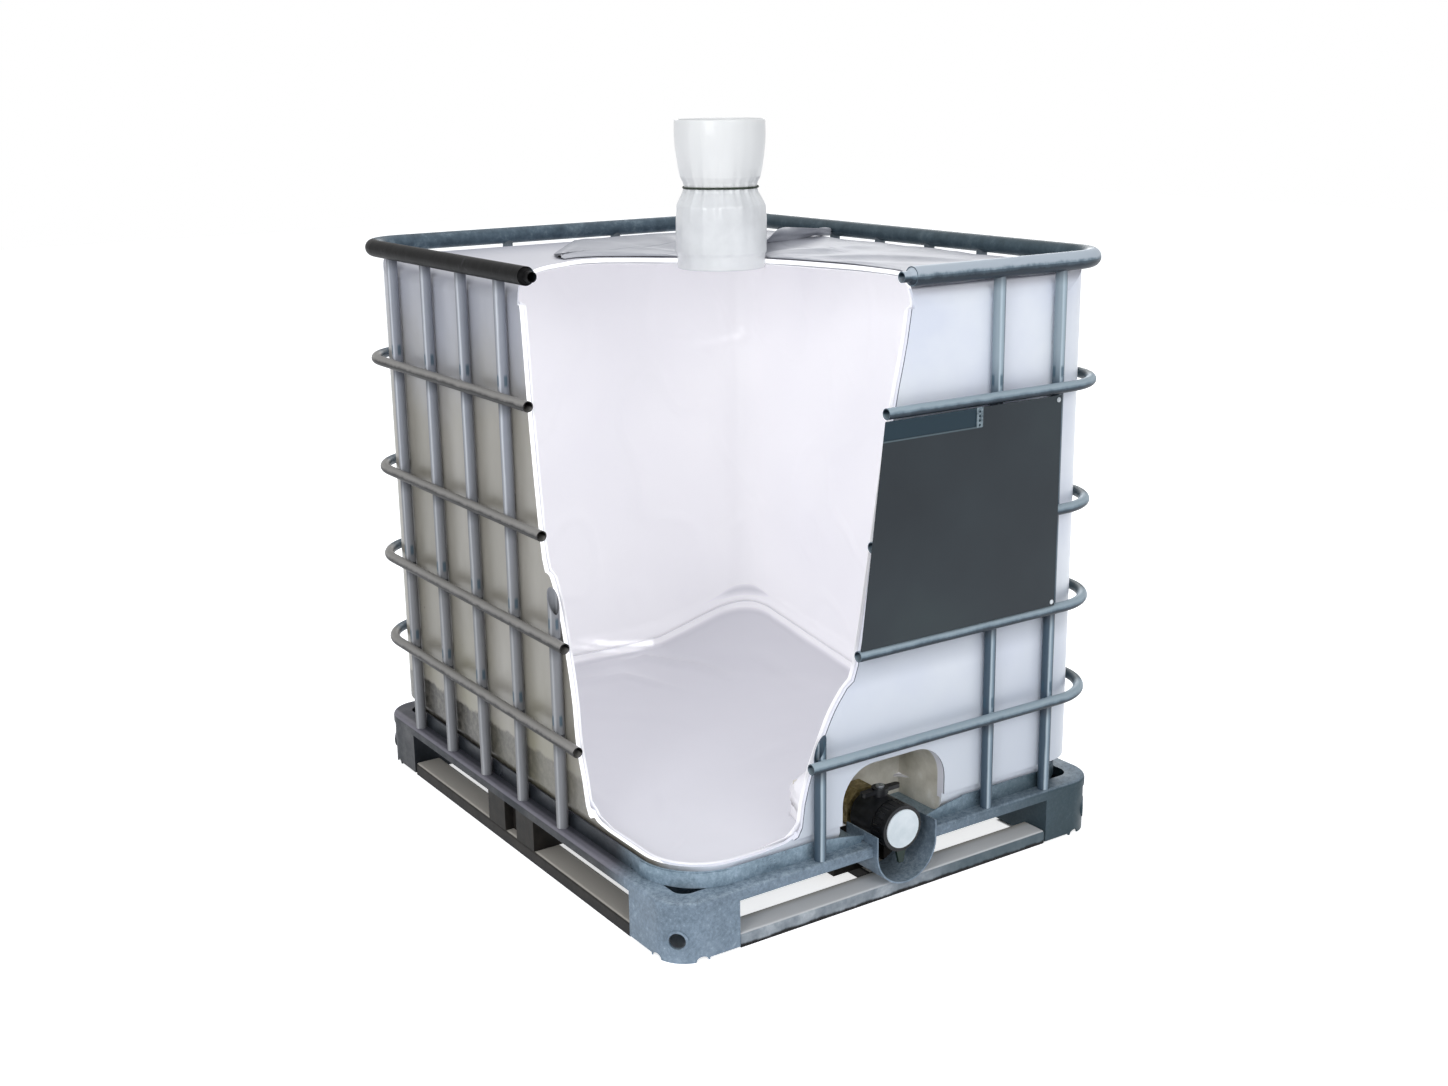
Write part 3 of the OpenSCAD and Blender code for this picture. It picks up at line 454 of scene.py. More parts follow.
    # dirt gathered over the tray's lip, thickest at the far end, with specks above it
    edge = f.sum_of(z, f.times(f.sum_of(f.clouds(20, 4, 0.65), -0.5), 0.035))
    far_end = f.level(y, -0.42, 0.36, 0.42, 1)
    dirt = f.times(f.times(f.level(edge, 0.216, 0.226, 1, 0), outside_left), far_end)
    grain = f.level(f.clouds(70, 5, 0.75), 0.35, 0.62, 0.72, 1)
    base = f.blended(f.times(dirt, grain), base, (38, 36, 32))
    specks = f.times(f.level(f.cells(60), 0.10, 0.16, 1, 0), f.level(f.clouds(12, 3), 0.54, 0.64))
    reach = f.times(f.level(z, 0.28, 0.62, 1, 0), f.level(y, 0.28, 0.50, 0.12, 1))
    base = f.blended(f.times(f.times(specks, reach), outside_left), base, (34, 32, 30))
    # the outlet's recess is cream
    recess = f.times(f.level(y, -0.566, -0.555), f.level(z, 0.27, 0.285, 1, 0))
    recess = f.times(f.band(x, -0.13, 0.13, 0.012), recess)
    cream = f.colours(f.clouds(16, 4, 0.6), [
        (0.32, (186, 182, 170)), (0.6, (220, 217, 207)), (0.75, (240, 239, 234))])
    base = f.blended(f.times(recess, f.level(y, -0.42, -0.43)), base, cream)
    # cut faces: white with a painted glow on the left and the top, as pale as the film in front, over a
    # painted dark shadow line at the outer edge
    flat = [f.level(f.times(n, n), 0.0008, 0.002, 1, 0) for n in (nx, ny, nz)]
    body = f.band(z, 0.147, 1.108, 0.001)
    white = f.most(f.times(f.times(flat[0], f.level(x, -0.453, -0.452, 1, 0)), body),
                   f.times(flat[2], f.level(z, 1.1038, 1.1042)))
    pale = f.times(f.times(flat[1], f.level(y, -0.553, -0.552, 1, 0)), body)
    base = f.blended(pale, base, (232, 233, 243))
    # a painted shadow line along the outer edge of the front cut
    base = f.blended(f.times(pale, f.level(y, -0.5706, -0.5702, 1, 0)), base, (40, 52, 74))
    f.put("Base Color", f.blended(white, base, (252, 252, 254)))
    # painted glow on the white cut faces
    f.put("Emission Strength", f.times(white, 0.35))
    f.shader.inputs["Emission Color"].default_value = (1, 1, 1, 1)
    f.relief(f.clouds(6, 2), 0.3, 0.010)
    f.relief(f.clouds(160, 2), 0.06, 0.001)

    # inner film: glossy lavender white, with a painted glow all over it, stronger on the walls facing -X, and
    # painted highlights along its folds
    f = Finish("liner_film", rough=0.30, Coat_Weight=0.12, Coat_Roughness=0.12)
    y, z = f.axis("Y"), f.axis("Z")
    floor_tone = f.times(f.level(f.facing("Z"), 0.25, 0.9), f.level(z, 0.25, 0.35, 1, 0))
    wall = f.colours(f.clouds(2.2, 3), [(0.3, (236, 235, 239)), (0.7, (246, 245, 247))])
    base = f.blended(floor_tone, wall, (203, 203, 209))
    f.put("Base Color", base)
    f.put("Emission Color", base)
    # painted highlights along the folds low on the back wall, and painted glints higher up
    bright = f.stroke([(-112, 549, 238), (-58, 549, 201), (60, 549, 160), (170, 549, 142)], 13)
    second = f.stroke([(-96, 549, 196), (30, 549, 152), (150, 549, 126), (300, 549, 122)], 10)
    streak = f.stroke([(284, 549, 850), (436, 546, 860)], 16)
    glints = f.most(*(f.stroke([a, b], 8) for a, b in (((199, 549, 767), (214, 549, 812)),
                                                       ((206, 549, 806), (262, 549, 768)),
                                                       ((225, 549, 775), (285, 549, 742)),
                                                       ((262, 549, 772), (338, 549, 740)))))
    painted_fold_highlights = f.most(f.times(bright, 0.5), f.times(second, 0.3), f.times(streak, 0.12), f.times(glints, 0.45))
    painted_fold_highlights = f.times(painted_fold_highlights, f.level(f.clouds(30, 3), 0.3, 0.6, 0.25, 1))
    # painted glow all over the film, stronger on the walls facing -X, plus the painted highlights
    f.put("Emission Strength", f.sum_of(painted_fold_highlights, f.level(f.facing("X"), -0.9, -0.5, 0.21, 0.16)))
    f.relief(f.clouds(7, 3, 0.5, f.stretched(1, 1, 0.5)), 0.15, 0.006)

    f = Finish("skirt_film", rough=0.5, Specular_IOR_Level=0.3)
    f.put("Base Color", f.colours(f.clouds(5, 4), [
        (0.3, (146, 148, 156)), (0.5, (158, 160, 168)), (0.72, (172, 174, 182))]))
    f.relief(f.clouds(18, 4, 0.6, f.stretched(1, 0.4, 1)), 0.35, 0.006)

    f = Finish("sleeve_film", rough=0.3, Coat_Weight=0.25, Coat_Roughness=0.15)
    upper = f.level(f.axis("Z"), 1.25, 1.256, 0, 1)
    soft = f.colours(f.clouds(11, 4), [(0.3, (208, 210, 212)), (0.6, (226, 228, 230))])
    f.put("Base Color", f.blended(upper, soft, (228, 229, 229)))
    f.relief(f.clouds(26, 4, 0.55, f.stretched(1, 1, 0.35)), 0.3, 0.004)

    f = Finish("slate_plate", rough=0.42, Specular_IOR_Level=0.25)
    tone = f.colours(f.clouds(3.2, 3, 0.5), [(0.3, (32, 39, 45)), (0.55, (39, 47, 53)), (0.75, (46, 56, 60))])
    strip = f.times(f.level(f.axis("Z"), 0.859, 0.861, 0, 1), f.level(f.axis("X"), 0.1555, 0.1565, 1, 0))
    rim = f.times(f.band(f.axis("Z"), 0.8572, 0.8592, 0.0006), f.level(f.axis("X"), 0.1555, 0.1565, 1, 0))
    f.put("Base Color", f.blended(f.times(rim, 0.5), f.blended(strip, tone, (20, 44, 56)), (104, 122, 130)))
    f.relief(f.clouds(380, 2), 0.12, 0.0004)
    f.relief(f.clouds(5, 2), 0.15, 0.004)

    f = Finish("black_plastic", rough=0.36, Specular_IOR_Level=0.28)
    base = f.colours(f.clouds(60, 4), [(0.35, (16, 17, 19)), (0.7, (34, 36, 40))])
    tab = f.times(f.level(f.axis("Z"), 0.0825, 0.0842, 1, 0), f.level(f.axis("Y"), -0.586, -0.584, 1, 0))
    f.put("Base Color", f.blended(tab, base, (26, 44, 38)))
    f.relief(f.clouds(420, 2), 0.2, 0.0004)

    for name, (rough, metal, mottle, stops, grain, depth) in PLAIN_FINISHES.items():
        f = Finish(name, rough, metal)
        f.put("Base Color", f.colours(f.clouds(*mottle), stops))
        f.relief(f.clouds(*grain), *depth)


NODE_FINISH = {
    "skid_steel": ["skid_left", "skid_right", "skid_front", "skid_back", "skid_centre", "mid_foot_left",
                   "mid_foot_right", "mid_foot_front", "mid_foot_back", "mid_foot_centre"],
    "pallet_zinc": ["foot_front_left", "foot_front_right", "foot_back_left", "foot_back_right", "pallet_rim",
                    "deck_beams", "valve_guard"],
    "deck_zinc": ["tray", "tray_corner_plates"],
    "ring_steel": ["top_rail", "rail_end_plugs", "ring_1", "ring_2", "ring_3", "ring_4"],
    "upright_steel": ["uprights_left", "uprights_right", "uprights_front", "uprights_back"],
    "slate_plate": ["label_plate"],
    "zinc_screw": ["plate_screws", "valve_stem", "handle_screw"],
    "clip_zinc": ["label_clip"],
    "bottle_plastic": ["bottle"],
    "liner_film": ["liner"],
    "sleeve_film": ["fill_sleeve"],
    "tie_cord": ["sleeve_tie"],
    "black_rubber": ["outlet_gasket", "valve_seat", "stem_seal", "cap_gasket"],
    "dull_brass": ["union_nut"],
    "black_plastic": ["valve_body", "valve_handle", "outlet_cap"],
    "cap_plastic": ["cap_disc"],
    "disc_plastic": ["valve_disc"],
}

# ---------------------------------------------------------------- the section through the near corner

# Millimetres: (y, z) of the cut through the left wall, (x, z) of the one in front, (x, y) of the one on top.
SECTION_FLOOR = 148
LEFT_SECTION = [(-330, 148), (-273, 160), (-254, 223), (-235, 290), (-228, 361), (-214, 433), (-188, 531),
                (-161, 588), (-134, 616), (-106, 850), (-91, 1048), (-80, 1142)]
FRONT_SECTION = [(-290, 148), (-218, 160), (-203, 218), (-188, 270), (-162, 331), (-137, 380), (-110, 416),
                 (-86, 452), (-46, 680), (-10, 895), (17, 1018), (34, 1136)]
TOP_SECTION = [(-476, -87), (-419, -6), (-340, 95), (-255, 155), (-148, 178), (20, 12), (95, -70),
               (144, -240), (152, -320), (150, -385), (124, -429), (71, -506), (44, -540), (29, -576)]
FAR = 1600


def curved(points, steps=3):
    """The section's line as a smooth curve through its points."""
    p = [np.array(q, float) for q in points]
    line = []
    for i in range(len(p) - 1):
        a, b, c, d = p[max(i - 1, 0)], p[i], p[i + 1], p[min(i + 2, len(p) - 1)]
        for k in range(steps):
            t = k / steps
            line.append(0.5 * (2 * b + (c - a) * t + (2 * a - 5 * b + 4 * c - d) * t ** 2
                               + (3 * b - a - 3 * c + d) * t ** 3))
    line.append(p[-1])
    return np.array(line)


def inside(outline, x, y):
    """Which of the points (x, y) lie inside a closed outline."""
    found = np.zeros(np.shape(x), bool)
    for (x1, y1), (x2, y2) in zip(outline, np.roll(outline, -1, 0)):
        if y1 == y2:
            continue
        crosses = (y1 > y) != (y2 > y)
        found ^= crosses & (x < (x2 - x1) * (y - y1) / (y2 - y1) + x1)
    return found


LEFT_LINE, FRONT_LINE, TOP_LINE = curved(LEFT_SECTION), curved(FRONT_SECTION), curved(TOP_SECTION)
LEFT_OUT, FRONT_OUT = (np.vstack([[(-FAR, SECTION_FLOOR)], line, [(line[-1][0], FAR), (-FAR, FAR)]])
                       for line in (LEFT_LINE, FRONT_LINE))
TOP_OUT = np.vstack([[(-FAR, -FAR), (-FAR, TOP_LINE[0][1])], TOP_LINE, [(TOP_LINE[-1][0], -FAR)]])
LEFT_CUT_TO, FRONT_CUT_TO, TOP_CUT_FROM = -294, -394, 1072
FILM_PROUD = (8, 8, -3)


def cut_away(p, proud=FILM_PROUD):
    """Which points (mm) the section takes away, with the film standing proud of the bottle."""
    q = np.atleast_2d(p) + np.array(proud, float)
    left = (q[:, 0] < LEFT_CUT_TO) & inside(LEFT_OUT, q[:, 1], q[:, 2])
    front = (q[:, 1] < FRONT_CUT_TO) & inside(FRONT_OUT, q[:, 0], q[:, 2])
    top = (q[:, 2] > TOP_CUT_FROM) & inside(TOP_OUT, q[:, 0], q[:, 1])
    return left | front | top


# ---------------------------------------------------------------- film

def rounded_plan(half_x, half_y, radius, inset=0.0, step=6.0):
    """Closed plan of the tank: points from the middle of the near corner, towards the front wall."""
    cx, cy = half_x - radius, half_y - radius
    r = radius - inset
    corners = [(-cx, -cy, 225), (cx, -cy, 270), (cx, cy, 0), (-cx, cy, 90), (-cx, -cy, 180)]
    points = []
    for k, (x, y, start) in enumerate(corners):
        sweep = (45, 90, 90, 90, 45)[k]
        for t in np.linspace(0, 1, max(3, int(math.radians(sweep) * radius / step))):
            angle = math.radians(start + sweep * t)
            points.append((x + r * math.cos(angle), y + r * math.sin(angle)))
        if k < 4:
            x2, y2, a2 = corners[k + 1][0], corners[k + 1][1], math.radians(corners[k + 1][2])
            end = np.array((x2 + r * math.cos(a2), y2 + r * math.sin(a2)))
            begin = np.array(points[-1])
            count = int(np.linalg.norm(end - begin) / step)
            points += [tuple(begin + (end - begin) * i / count) for i in range(1, count)]
    return np.array(points[:-1])


def at_spacing(line, count):
    """A line as that many points, evenly spaced along it."""
    gaps = np.r_[0, np.cumsum(np.linalg.norm(np.diff(line, axis=0), axis=1))]
    where = np.linspace(0, gaps[-1], count)
    return np.column_stack([np.interp(where, gaps, column) for column in line.T])


def at_spacing_closed(ring, count):
    return at_spacing(np.vstack([ring, ring[:1]]), count + 1)[:-1]


def at_height(plan, z):
    return np.column_stack([plan, np.full(len(plan), z)])


def kept_arc(ring, count, is_gone=cut_away):
    """The part of a closed ring that the section leaves, from its front end to its left end."""
    gone = is_gone(ring)
    if not gone.any():
        return None
    n = len(ring)
    kept = ~gone
    start = max((i for i in range(n) if kept[i] and gone[i - 1]), key=lambda i: run_length(kept, i))
    length = run_length(kept, start)
    line = [ring[(start + k) % n] for k in range(length)]
    first = edge_point(ring[start], ring[start - 1], is_gone)
    last = edge_point(ring[(start + length - 1) % n], ring[(start + length) % n], is_gone)
    return at_spacing(np.array([first] + line + [last]), count)


def run_length(kept, start):
    n = len(kept)
    length = 0
    while length < n and kept[(start + length) % n]:
        length += 1
    return length


def edge_point(stays, goes, is_gone):
    """Where the section's edge lies between a point that stays and one that goes."""
    stays, goes = np.array(stays, float), np.array(goes, float)
    for _ in range(12):
        middle = (stays + goes) / 2
        if is_gone(middle[None])[0]:
            goes = middle
        else:
            stays = middle
    return stays


def mesh_object(name, points, faces, finish):
    mesh = bpy.data.meshes.new(name)
    mesh.from_pydata([tuple(p) for p in points], [], [tuple(f) for f in faces])
    mesh.materials.append(finish)
    mesh.polygons.foreach_set("use_smooth", [True] * len(mesh.polygons))
    mesh.update()
    return into_scene(name, mesh)


def net_faces(rows, columns, closed):
    faces = []
    for j in range(rows - 1):
        for i in range(columns if closed else columns - 1):
            k = (i + 1) % columns
            faces.append((j * columns + i, j * columns + k, (j + 1) * columns + k, (j + 1) * columns + i))
    return faces


def vertex_normals(piece):
    normals = np.zeros(len(piece.data.vertices) * 3)
    piece.data.vertex_normals.foreach_get("vector", normals)
    return normals.reshape(-1, 3)


def fold_height(p, ends, height, width):
    """A rounded fold along a line of points, tapering at its ends. Millimetres."""
    total = np.zeros(len(p))
    count = len(ends) - 1
    for k in range(count):
        a, b = np.array(ends[k], float), np.array(ends[k + 1], float)
        along = np.clip((p - a) @ (b - a) / ((b - a) @ (b - a)), 0, 1)
        away = np.linalg.norm(p - (a + np.outer(along, b - a)), axis=1)
        whole = (k + along) / count
        taper = np.sin(np.pi * np.clip(whole, 0.03, 0.97)) ** 0.6
        total = np.maximum(total, height * taper * np.exp(-(away / width) ** 2))
    return total


def with_folds(total, p, folds):
    for ends, height, width in folds:
        total = total + fold_height(p, ends, height, width)
    return total


def film_noise(p, size, seed, stretch=(1, 1, 1)):
    scale = np.array(stretch, float) / size
    return np.array([noise.noise(Vector(q * scale + seed)) for q in p])


def apply_modifiers(piece):
    evaluated = piece.evaluated_get(bpy.context.evaluated_depsgraph_get())
    mesh = bpy.data.meshes.new_from_object(evaluated)
    old = piece.data
    piece.modifiers.clear()
    piece.data = mesh
    mesh.name = old.name
    bpy.data.meshes.remove(old)


def thicken(piece, gauge=0.8, offset=0.0):
    """Gives the film its gauge (mm), to both sides or to the side that the offset says."""
    wall = piece.modifiers.new("film_gauge", "SOLIDIFY")
    wall.thickness = gauge * MM
    wall.offset = offset
    wall.use_even_offset = False
    apply_modifiers(piece)


def move_along_normals(piece, distance):
    """Moves each vertex by its own distance (mm) along its normal."""
    co = np.zeros(len(piece.data.vertices) * 3)
    piece.data.vertices.foreach_get("co", co)
    co = co.reshape(-1, 3) + vertex_normals(piece) * (distance * MM)[:, None]
    piece.data.vertices.foreach_set("co", co.ravel())
    piece.data.update()


# the bottle's plan as half width, half length and corner radius: its foot in the tray, and its body above
FOOT_PLAN, BODY_PLAN = np.array((464.8, 564.8, 117)), np.array((472.5, 572.5, 80))
BODY_FROM = 157
TANK_LOW, TANK_HIGH, SHOULDER, BASE = 115.3, 1112, 40, 30
LINER_INSET = 9.4
FILM_LOW, FILM_HIGH = TANK_LOW + LINER_INSET, TANK_HIGH - LINER_INSET
FILM_TOP_R, FILM_BASE_R = SHOULDER - LINER_INSET, BASE - LINER_INSET
WALL_START = SECTION_FLOOR + 3.2
SEAM_GAP = 2.2
WALL_COLUMNS = 380
SLEEVE_X, SLEEVE_R = 20, 88
HOLE_CENTRE = np.array((SLEEVE_X, 0.0))
POCKET = dict(half=120, top=262, back=-440)
WELL = dict(half=58, front=-425, back=-345, depth=14)
FAR_CORNER = dict(x=463, y=563, reach_x=270, reach_y=440, lift=70)

# folds as the points of their ridge, their height and their width
SEEN_FOLDS = [
    ([(284, 552, 852), (440, 548, 862), (452, 485, 867), (452, 214, 920)], 5, 15),
    ([(199, 552, 767), (214, 552, 812)], 6, 6), ([(206, 552, 806), (262, 552, 768)], 6, 7),
    ([(225, 552, 775), (285, 552, 742)], 5, 7), ([(262, 552, 772), (338, 552, 740)], 6, 8),
    ([(190, 552, 700), (199, 552, 767)], 3, 6),
    ([(246, 552, 434), (332, 552, 428)], 5, 8),
    ([(-110, 552, 236), (-58, 552, 201), (60, 552, 160), (150, 552, 140)], 7, 11),
    ([(-90, 552, 190), (30, 552, 150), (130, 552, 128)], 5, 8),
]
BROAD_FOLDS = [
    ([(452, 60, 1040), (452, -120, 700), (452, -200, 300)], 3, 22),
    ([(-200, 552, 1040), (-120, 552, 600), (-150, 552, 260)], 4, 24),
    ([(-456, 300, 1000), (-456, 250, 600), (-456, 330, 300)], 4, 20),
    ([(60, -556, 900), (150, -556, 600), (120, -556, 330)], 4, 18),
]
FLOOR_FOLDS = [
    ([(-60, 535, 130), (122, 500, 127), (190, 380, 127), (215, 240, 127)], 9, 12),
    ([(-150, 480, 127), (20, 420, 127), (80, 250, 127)], 6, 14),
    ([(-399, -200, 127), (-380, -60, 127)], 8, 11), ([(-330, -330, 127), (-260, -180, 127)], 6, 12),
    ([(250, 480, 127), (330, 300, 127), (300, 60, 127)], 6, 16),
    ([(380, 500, 127), (420, 380, 127)], 5, 12), ([(-100, -200, 127), (120, -120, 127)], 5, 18),
    ([(-420, -460, 127), (-360, -420, 127), (-250, -430, 127)], 5, 10),
]


def film_plan(z, drawn_in=0.0, step=8.0):
    """The film's plan at a height, following the bottle's inner wall."""
    share = np.clip((z - BODY_FROM - LINER_INSET) / 22, 0, 1)
    plan = FOOT_PLAN + (BODY_PLAN - FOOT_PLAN) * share * share * (3 - 2 * share)
    return rounded_plan(*(plan - LINER_INSET), drawn_in, step)


def corner_lift(p):
    """The film stands off the bottle's floor in the far corner: its height there, in millimetres."""
    away = np.hypot((p[:, 0] - FAR_CORNER["x"]) / FAR_CORNER["reach_x"],
                    (p[:, 1] - FAR_CORNER["y"]) / FAR_CORNER["reach_y"])
    return FAR_CORNER["lift"] * np.clip(1 - away, 0, 1) ** 1.05


def drawn_past_pocket(p):
    """The film bridges the outlet pocket: the front wall's points move in round it."""
    p = p.copy()
    depth = (POCKET["back"] + LINER_INSET + 6) - p[:, 1]
    side = np.clip((POCKET["half"] + 32 - np.abs(p[:, 0])) / 26, 0, 1)
    slope = 55 * np.clip((p[:, 2] - 190) / 80, 0, 1)
    high = np.clip((POCKET["top"] + 32 - p[:, 2]) / 26, 0, 1)
    share = (side * side * (3 - 2 * side)) * (high * high * (3 - 2 * high))
    move = np.clip(depth - slope * 1.8, 0, None) * share
    p[:, 1] += np.where(p[:, 1] < POCKET["back"], move, 0)
    return p


def wall_wrinkles(p):
    waves = 3.0 * film_noise(p, 260, 3.0, (1, 1, 0.6)) + 1.4 * film_noise(p, 90, 9.0, (1, 1, 0.5))
    tight = 1.0 - np.abs(film_noise(p, 150, 21.0, (1.0, 1.0, 0.7)))
    creases = 3.2 * np.clip(tight - 0.9, 0, 1) / 0.1
    total = 2.6 + waves + creases
    total = with_folds(total, p, SEEN_FOLDS + BROAD_FOLDS)
    return np.clip(total, 0.2, None)


def hole_plan(brim, radius):
    """The sleeve's hole, with a point for each point of the brim."""
    out = brim - HOLE_CENTRE
    return HOLE_CENTRE + out / np.linalg.norm(out, axis=1)[:, None] * radius


def build_liner_floor(finish):
    """The film's floor and lower wall, whole."""
    foot = film_plan(FILM_LOW, FILM_BASE_R)
    count = len(foot)
    rows = [at_height(foot * t, FILM_LOW) for t in np.linspace(0.02, 1, 30)]
    for degrees in np.linspace(0, 90, 6)[1:]:
        angle = math.radians(degrees)
        ring = film_plan(FILM_LOW, FILM_BASE_R * (1 - math.sin(angle)))
        z = FILM_LOW + FILM_BASE_R * (1 - math.cos(angle))
        rows.append(at_height(at_spacing_closed(ring, count), z))
    rows.append(at_height(at_spacing_closed(film_plan(WALL_START), count), WALL_START))
    points = drawn_past_pocket(np.vstack(rows))
    x, y, z = points.T
    well = (np.abs(x) < WELL["half"]) & (y > WELL["front"]) & (y < WELL["back"]) & (z < FILM_LOW + 1)
    faces = [f[::-1] for f in net_faces(len(rows), count, True)] + [list(range(count))]
    points[:, 2] += corner_lift(points)
    floor = mesh_object("liner_floor", points * MM, faces, finish)
    turn_inwards(floor)
    lift = 1.5 + 2.5 * film_noise(points, 190, 5.0) + 1.5 * film_noise(points, 70, 15.0)
    lift = np.clip(with_folds(lift, points, FLOOR_FOLDS + SEEN_FOLDS), 0.2, None)
    calm = np.clip((WALL_START + corner_lift(points) - points[:, 2]) / 12, 0, 1)
    move_along_normals(floor, np.where(well, -WELL["depth"], SEAM_GAP + (lift - SEAM_GAP) * calm))
    thicken(floor)
    return floor


def build_liner_walls(finish):
    """The film's walls, open at the section."""
    rows = [kept_arc(at_height(film_plan(z), z), WALL_COLUMNS)
            for z in np.linspace(WALL_START, FILM_HIGH - FILM_TOP_R, 106)]
    points = drawn_past_pocket(np.vstack(rows))
    points[:, 2] += corner_lift(points) * np.clip((470 - points[:, 2]) / (470 - WALL_START), 0, 1)
    walls = mesh_object("liner_walls", points * MM, net_faces(len(rows), WALL_COLUMNS, False), finish)
    turn_inwards(walls)
    calm = np.repeat(np.clip(np.linspace(0, 8, len(rows)), 0, 1), WALL_COLUMNS)
    stand_off = SEAM_GAP + (wall_wrinkles(points) - SEAM_GAP) * calm
    move_along_normals(walls, stand_off * np.tile(edge_calm(WALL_COLUMNS, 5), len(rows)))
    thicken(walls)
    return walls


def build_liner_top(finish):
    """The film's shoulders and top, to the sleeve's hole."""
    rows = []
    for degrees in np.linspace(0, 90, 9):
        angle = math.radians(degrees)
        plan = film_plan(FILM_HIGH, FILM_TOP_R * (1 - math.cos(angle)))
        rows.append(at_height(plan, FILM_HIGH - FILM_TOP_R * (1 - math.sin(angle))))
    brim = film_plan(FILM_HIGH, FILM_TOP_R)
    hole = hole_plan(brim, SLEEVE_R - 1.8)
    for t in np.linspace(0, 1, 30)[1:]:
        rows.append(at_height(brim + (hole - brim) * t, FILM_HIGH))
    rows = [kept_arc(row, WALL_COLUMNS) for row in rows]
    points = np.vstack(rows)
    top = mesh_object("liner_top", points * MM, net_faces(len(rows), WALL_COLUMNS, False), finish)
    turn_inwards(top)
    rising = np.linspace(0, 8, len(rows))
    calm = np.repeat(np.clip(np.minimum(rising, rising[::-1]), 0, 1), WALL_COLUMNS)
    calm = np.tile(edge_calm(WALL_COLUMNS, 5), len(rows)) * calm
    sag = 2 + 3 * film_noise(points, 200, 8.0) + 2 * film_noise(points, 80, 18.0)
    move_along_normals(top, np.clip(sag, 0.2, None) * calm)
    thicken(top)
    return top


def edge_calm(columns, reach):
    """0 at the two cut edges of the film and 1 away from them."""
    i = np.arange(columns)
    return np.clip(np.minimum(i, columns - 1 - i) / reach, 0.06, 1)


def turn_inwards(piece):
    """Makes the film's faces look into the tank."""
    mesh = piece.data
    face = mesh.polygons[len(mesh.polygons) // 2]
    to_axis = Vector((0, 0, 0.6)) - face.center
    if face.normal.dot(to_axis) < 0:
        mesh.flip_normals()
    mesh.update()


WAIST_R, WAIST_Z, SLEEVE_TOP, SLEEVE_FOOT = 70, 1252, 1380, 1097.5
SLEEVE_OUTLINE = [
    (SLEEVE_FOOT, 86), (1115, 86.4), (1122, 88), (1130, 89), (1160, 88.6), (1190, 88), (1218, 85.5),
    (1232, 78), (1243, 72), (WAIST_Z, WAIST_R), (1261, 72), (1272, 78), (1288, 82), (1308, 85),
    (1332, 87.5), (1352, 88.2), (1378, 87.6), (SLEEVE_TOP, 87.2)]
NECK_TOP, NECK_R = 1125, 86.2


def build_sleeve(finish):
    """The filling sleeve, gathered at its waist."""
    count = 180
    heights = np.unique(np.r_[np.linspace(SLEEVE_FOOT, 1225, 44), np.linspace(1225, 1280, 34),
                              np.linspace(1280, SLEEVE_TOP, 34)])
    outline_z, outline_r = zip(*SLEEVE_OUTLINE)
    points = []
    for z in heights:
        base = np.interp(z, outline_z, outline_r)
        gather = math.exp(-((z - WAIST_Z) / 17) ** 2)
        spread = math.exp(-((z - WAIST_Z) / 42) ** 2)
        below = 1.0 if z < WAIST_Z else 0.45
        loose = min(1, abs(z - WAIST_Z) / 30)
        limit = SLEEVE_R + 2.2 if z > NECK_TOP else NECK_R
        for i in range(count):
            angle = 2 * math.pi * i / count
            x, y = math.cos(angle), math.sin(angle)
            pleats = 1.5 * math.sin(23 * angle + 1.7 * math.sin(3 * angle))
            pleats += 0.8 * math.sin(41 * angle + 0.8)
            crumple = below * 2.2 * noise.noise(Vector((2.2 * x, 2.2 * y, z / 120)) * 1.6) * loose
            hang = below * 1.5 * noise.noise(Vector((5 * x, 5 * y, z / 300))) * loose
            r = base + pleats * (0.35 * gather + 0.65 * spread * below) + crumple + hang
            r = min(r, limit)
            points.append((SLEEVE_X + r * x, r * y, z))
    points = np.array(points)
    sleeve = mesh_object("sleeve_film", points * MM, net_faces(len(heights), count, True), finish)
    thicken(sleeve, offset=-1)
    return sleeve


def build_tie(finish):
    """A thin cord drawn round the sleeve's waist."""
    count, side, cord_r = 120, 8, 2.1
    points, faces = [], []
    for i in range(count):
        angle = 2 * math.pi * i / count
        r = WAIST_R + 2.6 + 0.4 * math.sin(9 * angle)
        for k in range(side):
            turn = 2 * math.pi * k / side
            reach = r + cord_r * math.cos(turn)
            points.append((SLEEVE_X + reach * math.cos(angle), reach * math.sin(angle),
                           WAIST_Z + 0.5 * math.sin(2 * angle) + cord_r * math.sin(turn)))
    for i in range(count):
        for k in range(side):
            j, m = (i + 1) % count, (k + 1) % side
            faces.append((i * side + k, j * side + k, j * side + m, i * side + m))
    return mesh_object("sleeve_cord", np.array(points) * MM, faces, finish)


STRAP_PATH = [(96, 30, 1126), (190, 92, 1128), (300, 150, 1124), (400, 196, 1127), (472, 236, 1122)]
STRAP_WIDTHS = [60, 56, 44, 26, 16]
STRAP_TURNS = [-10, 30, 70, 40, 80]


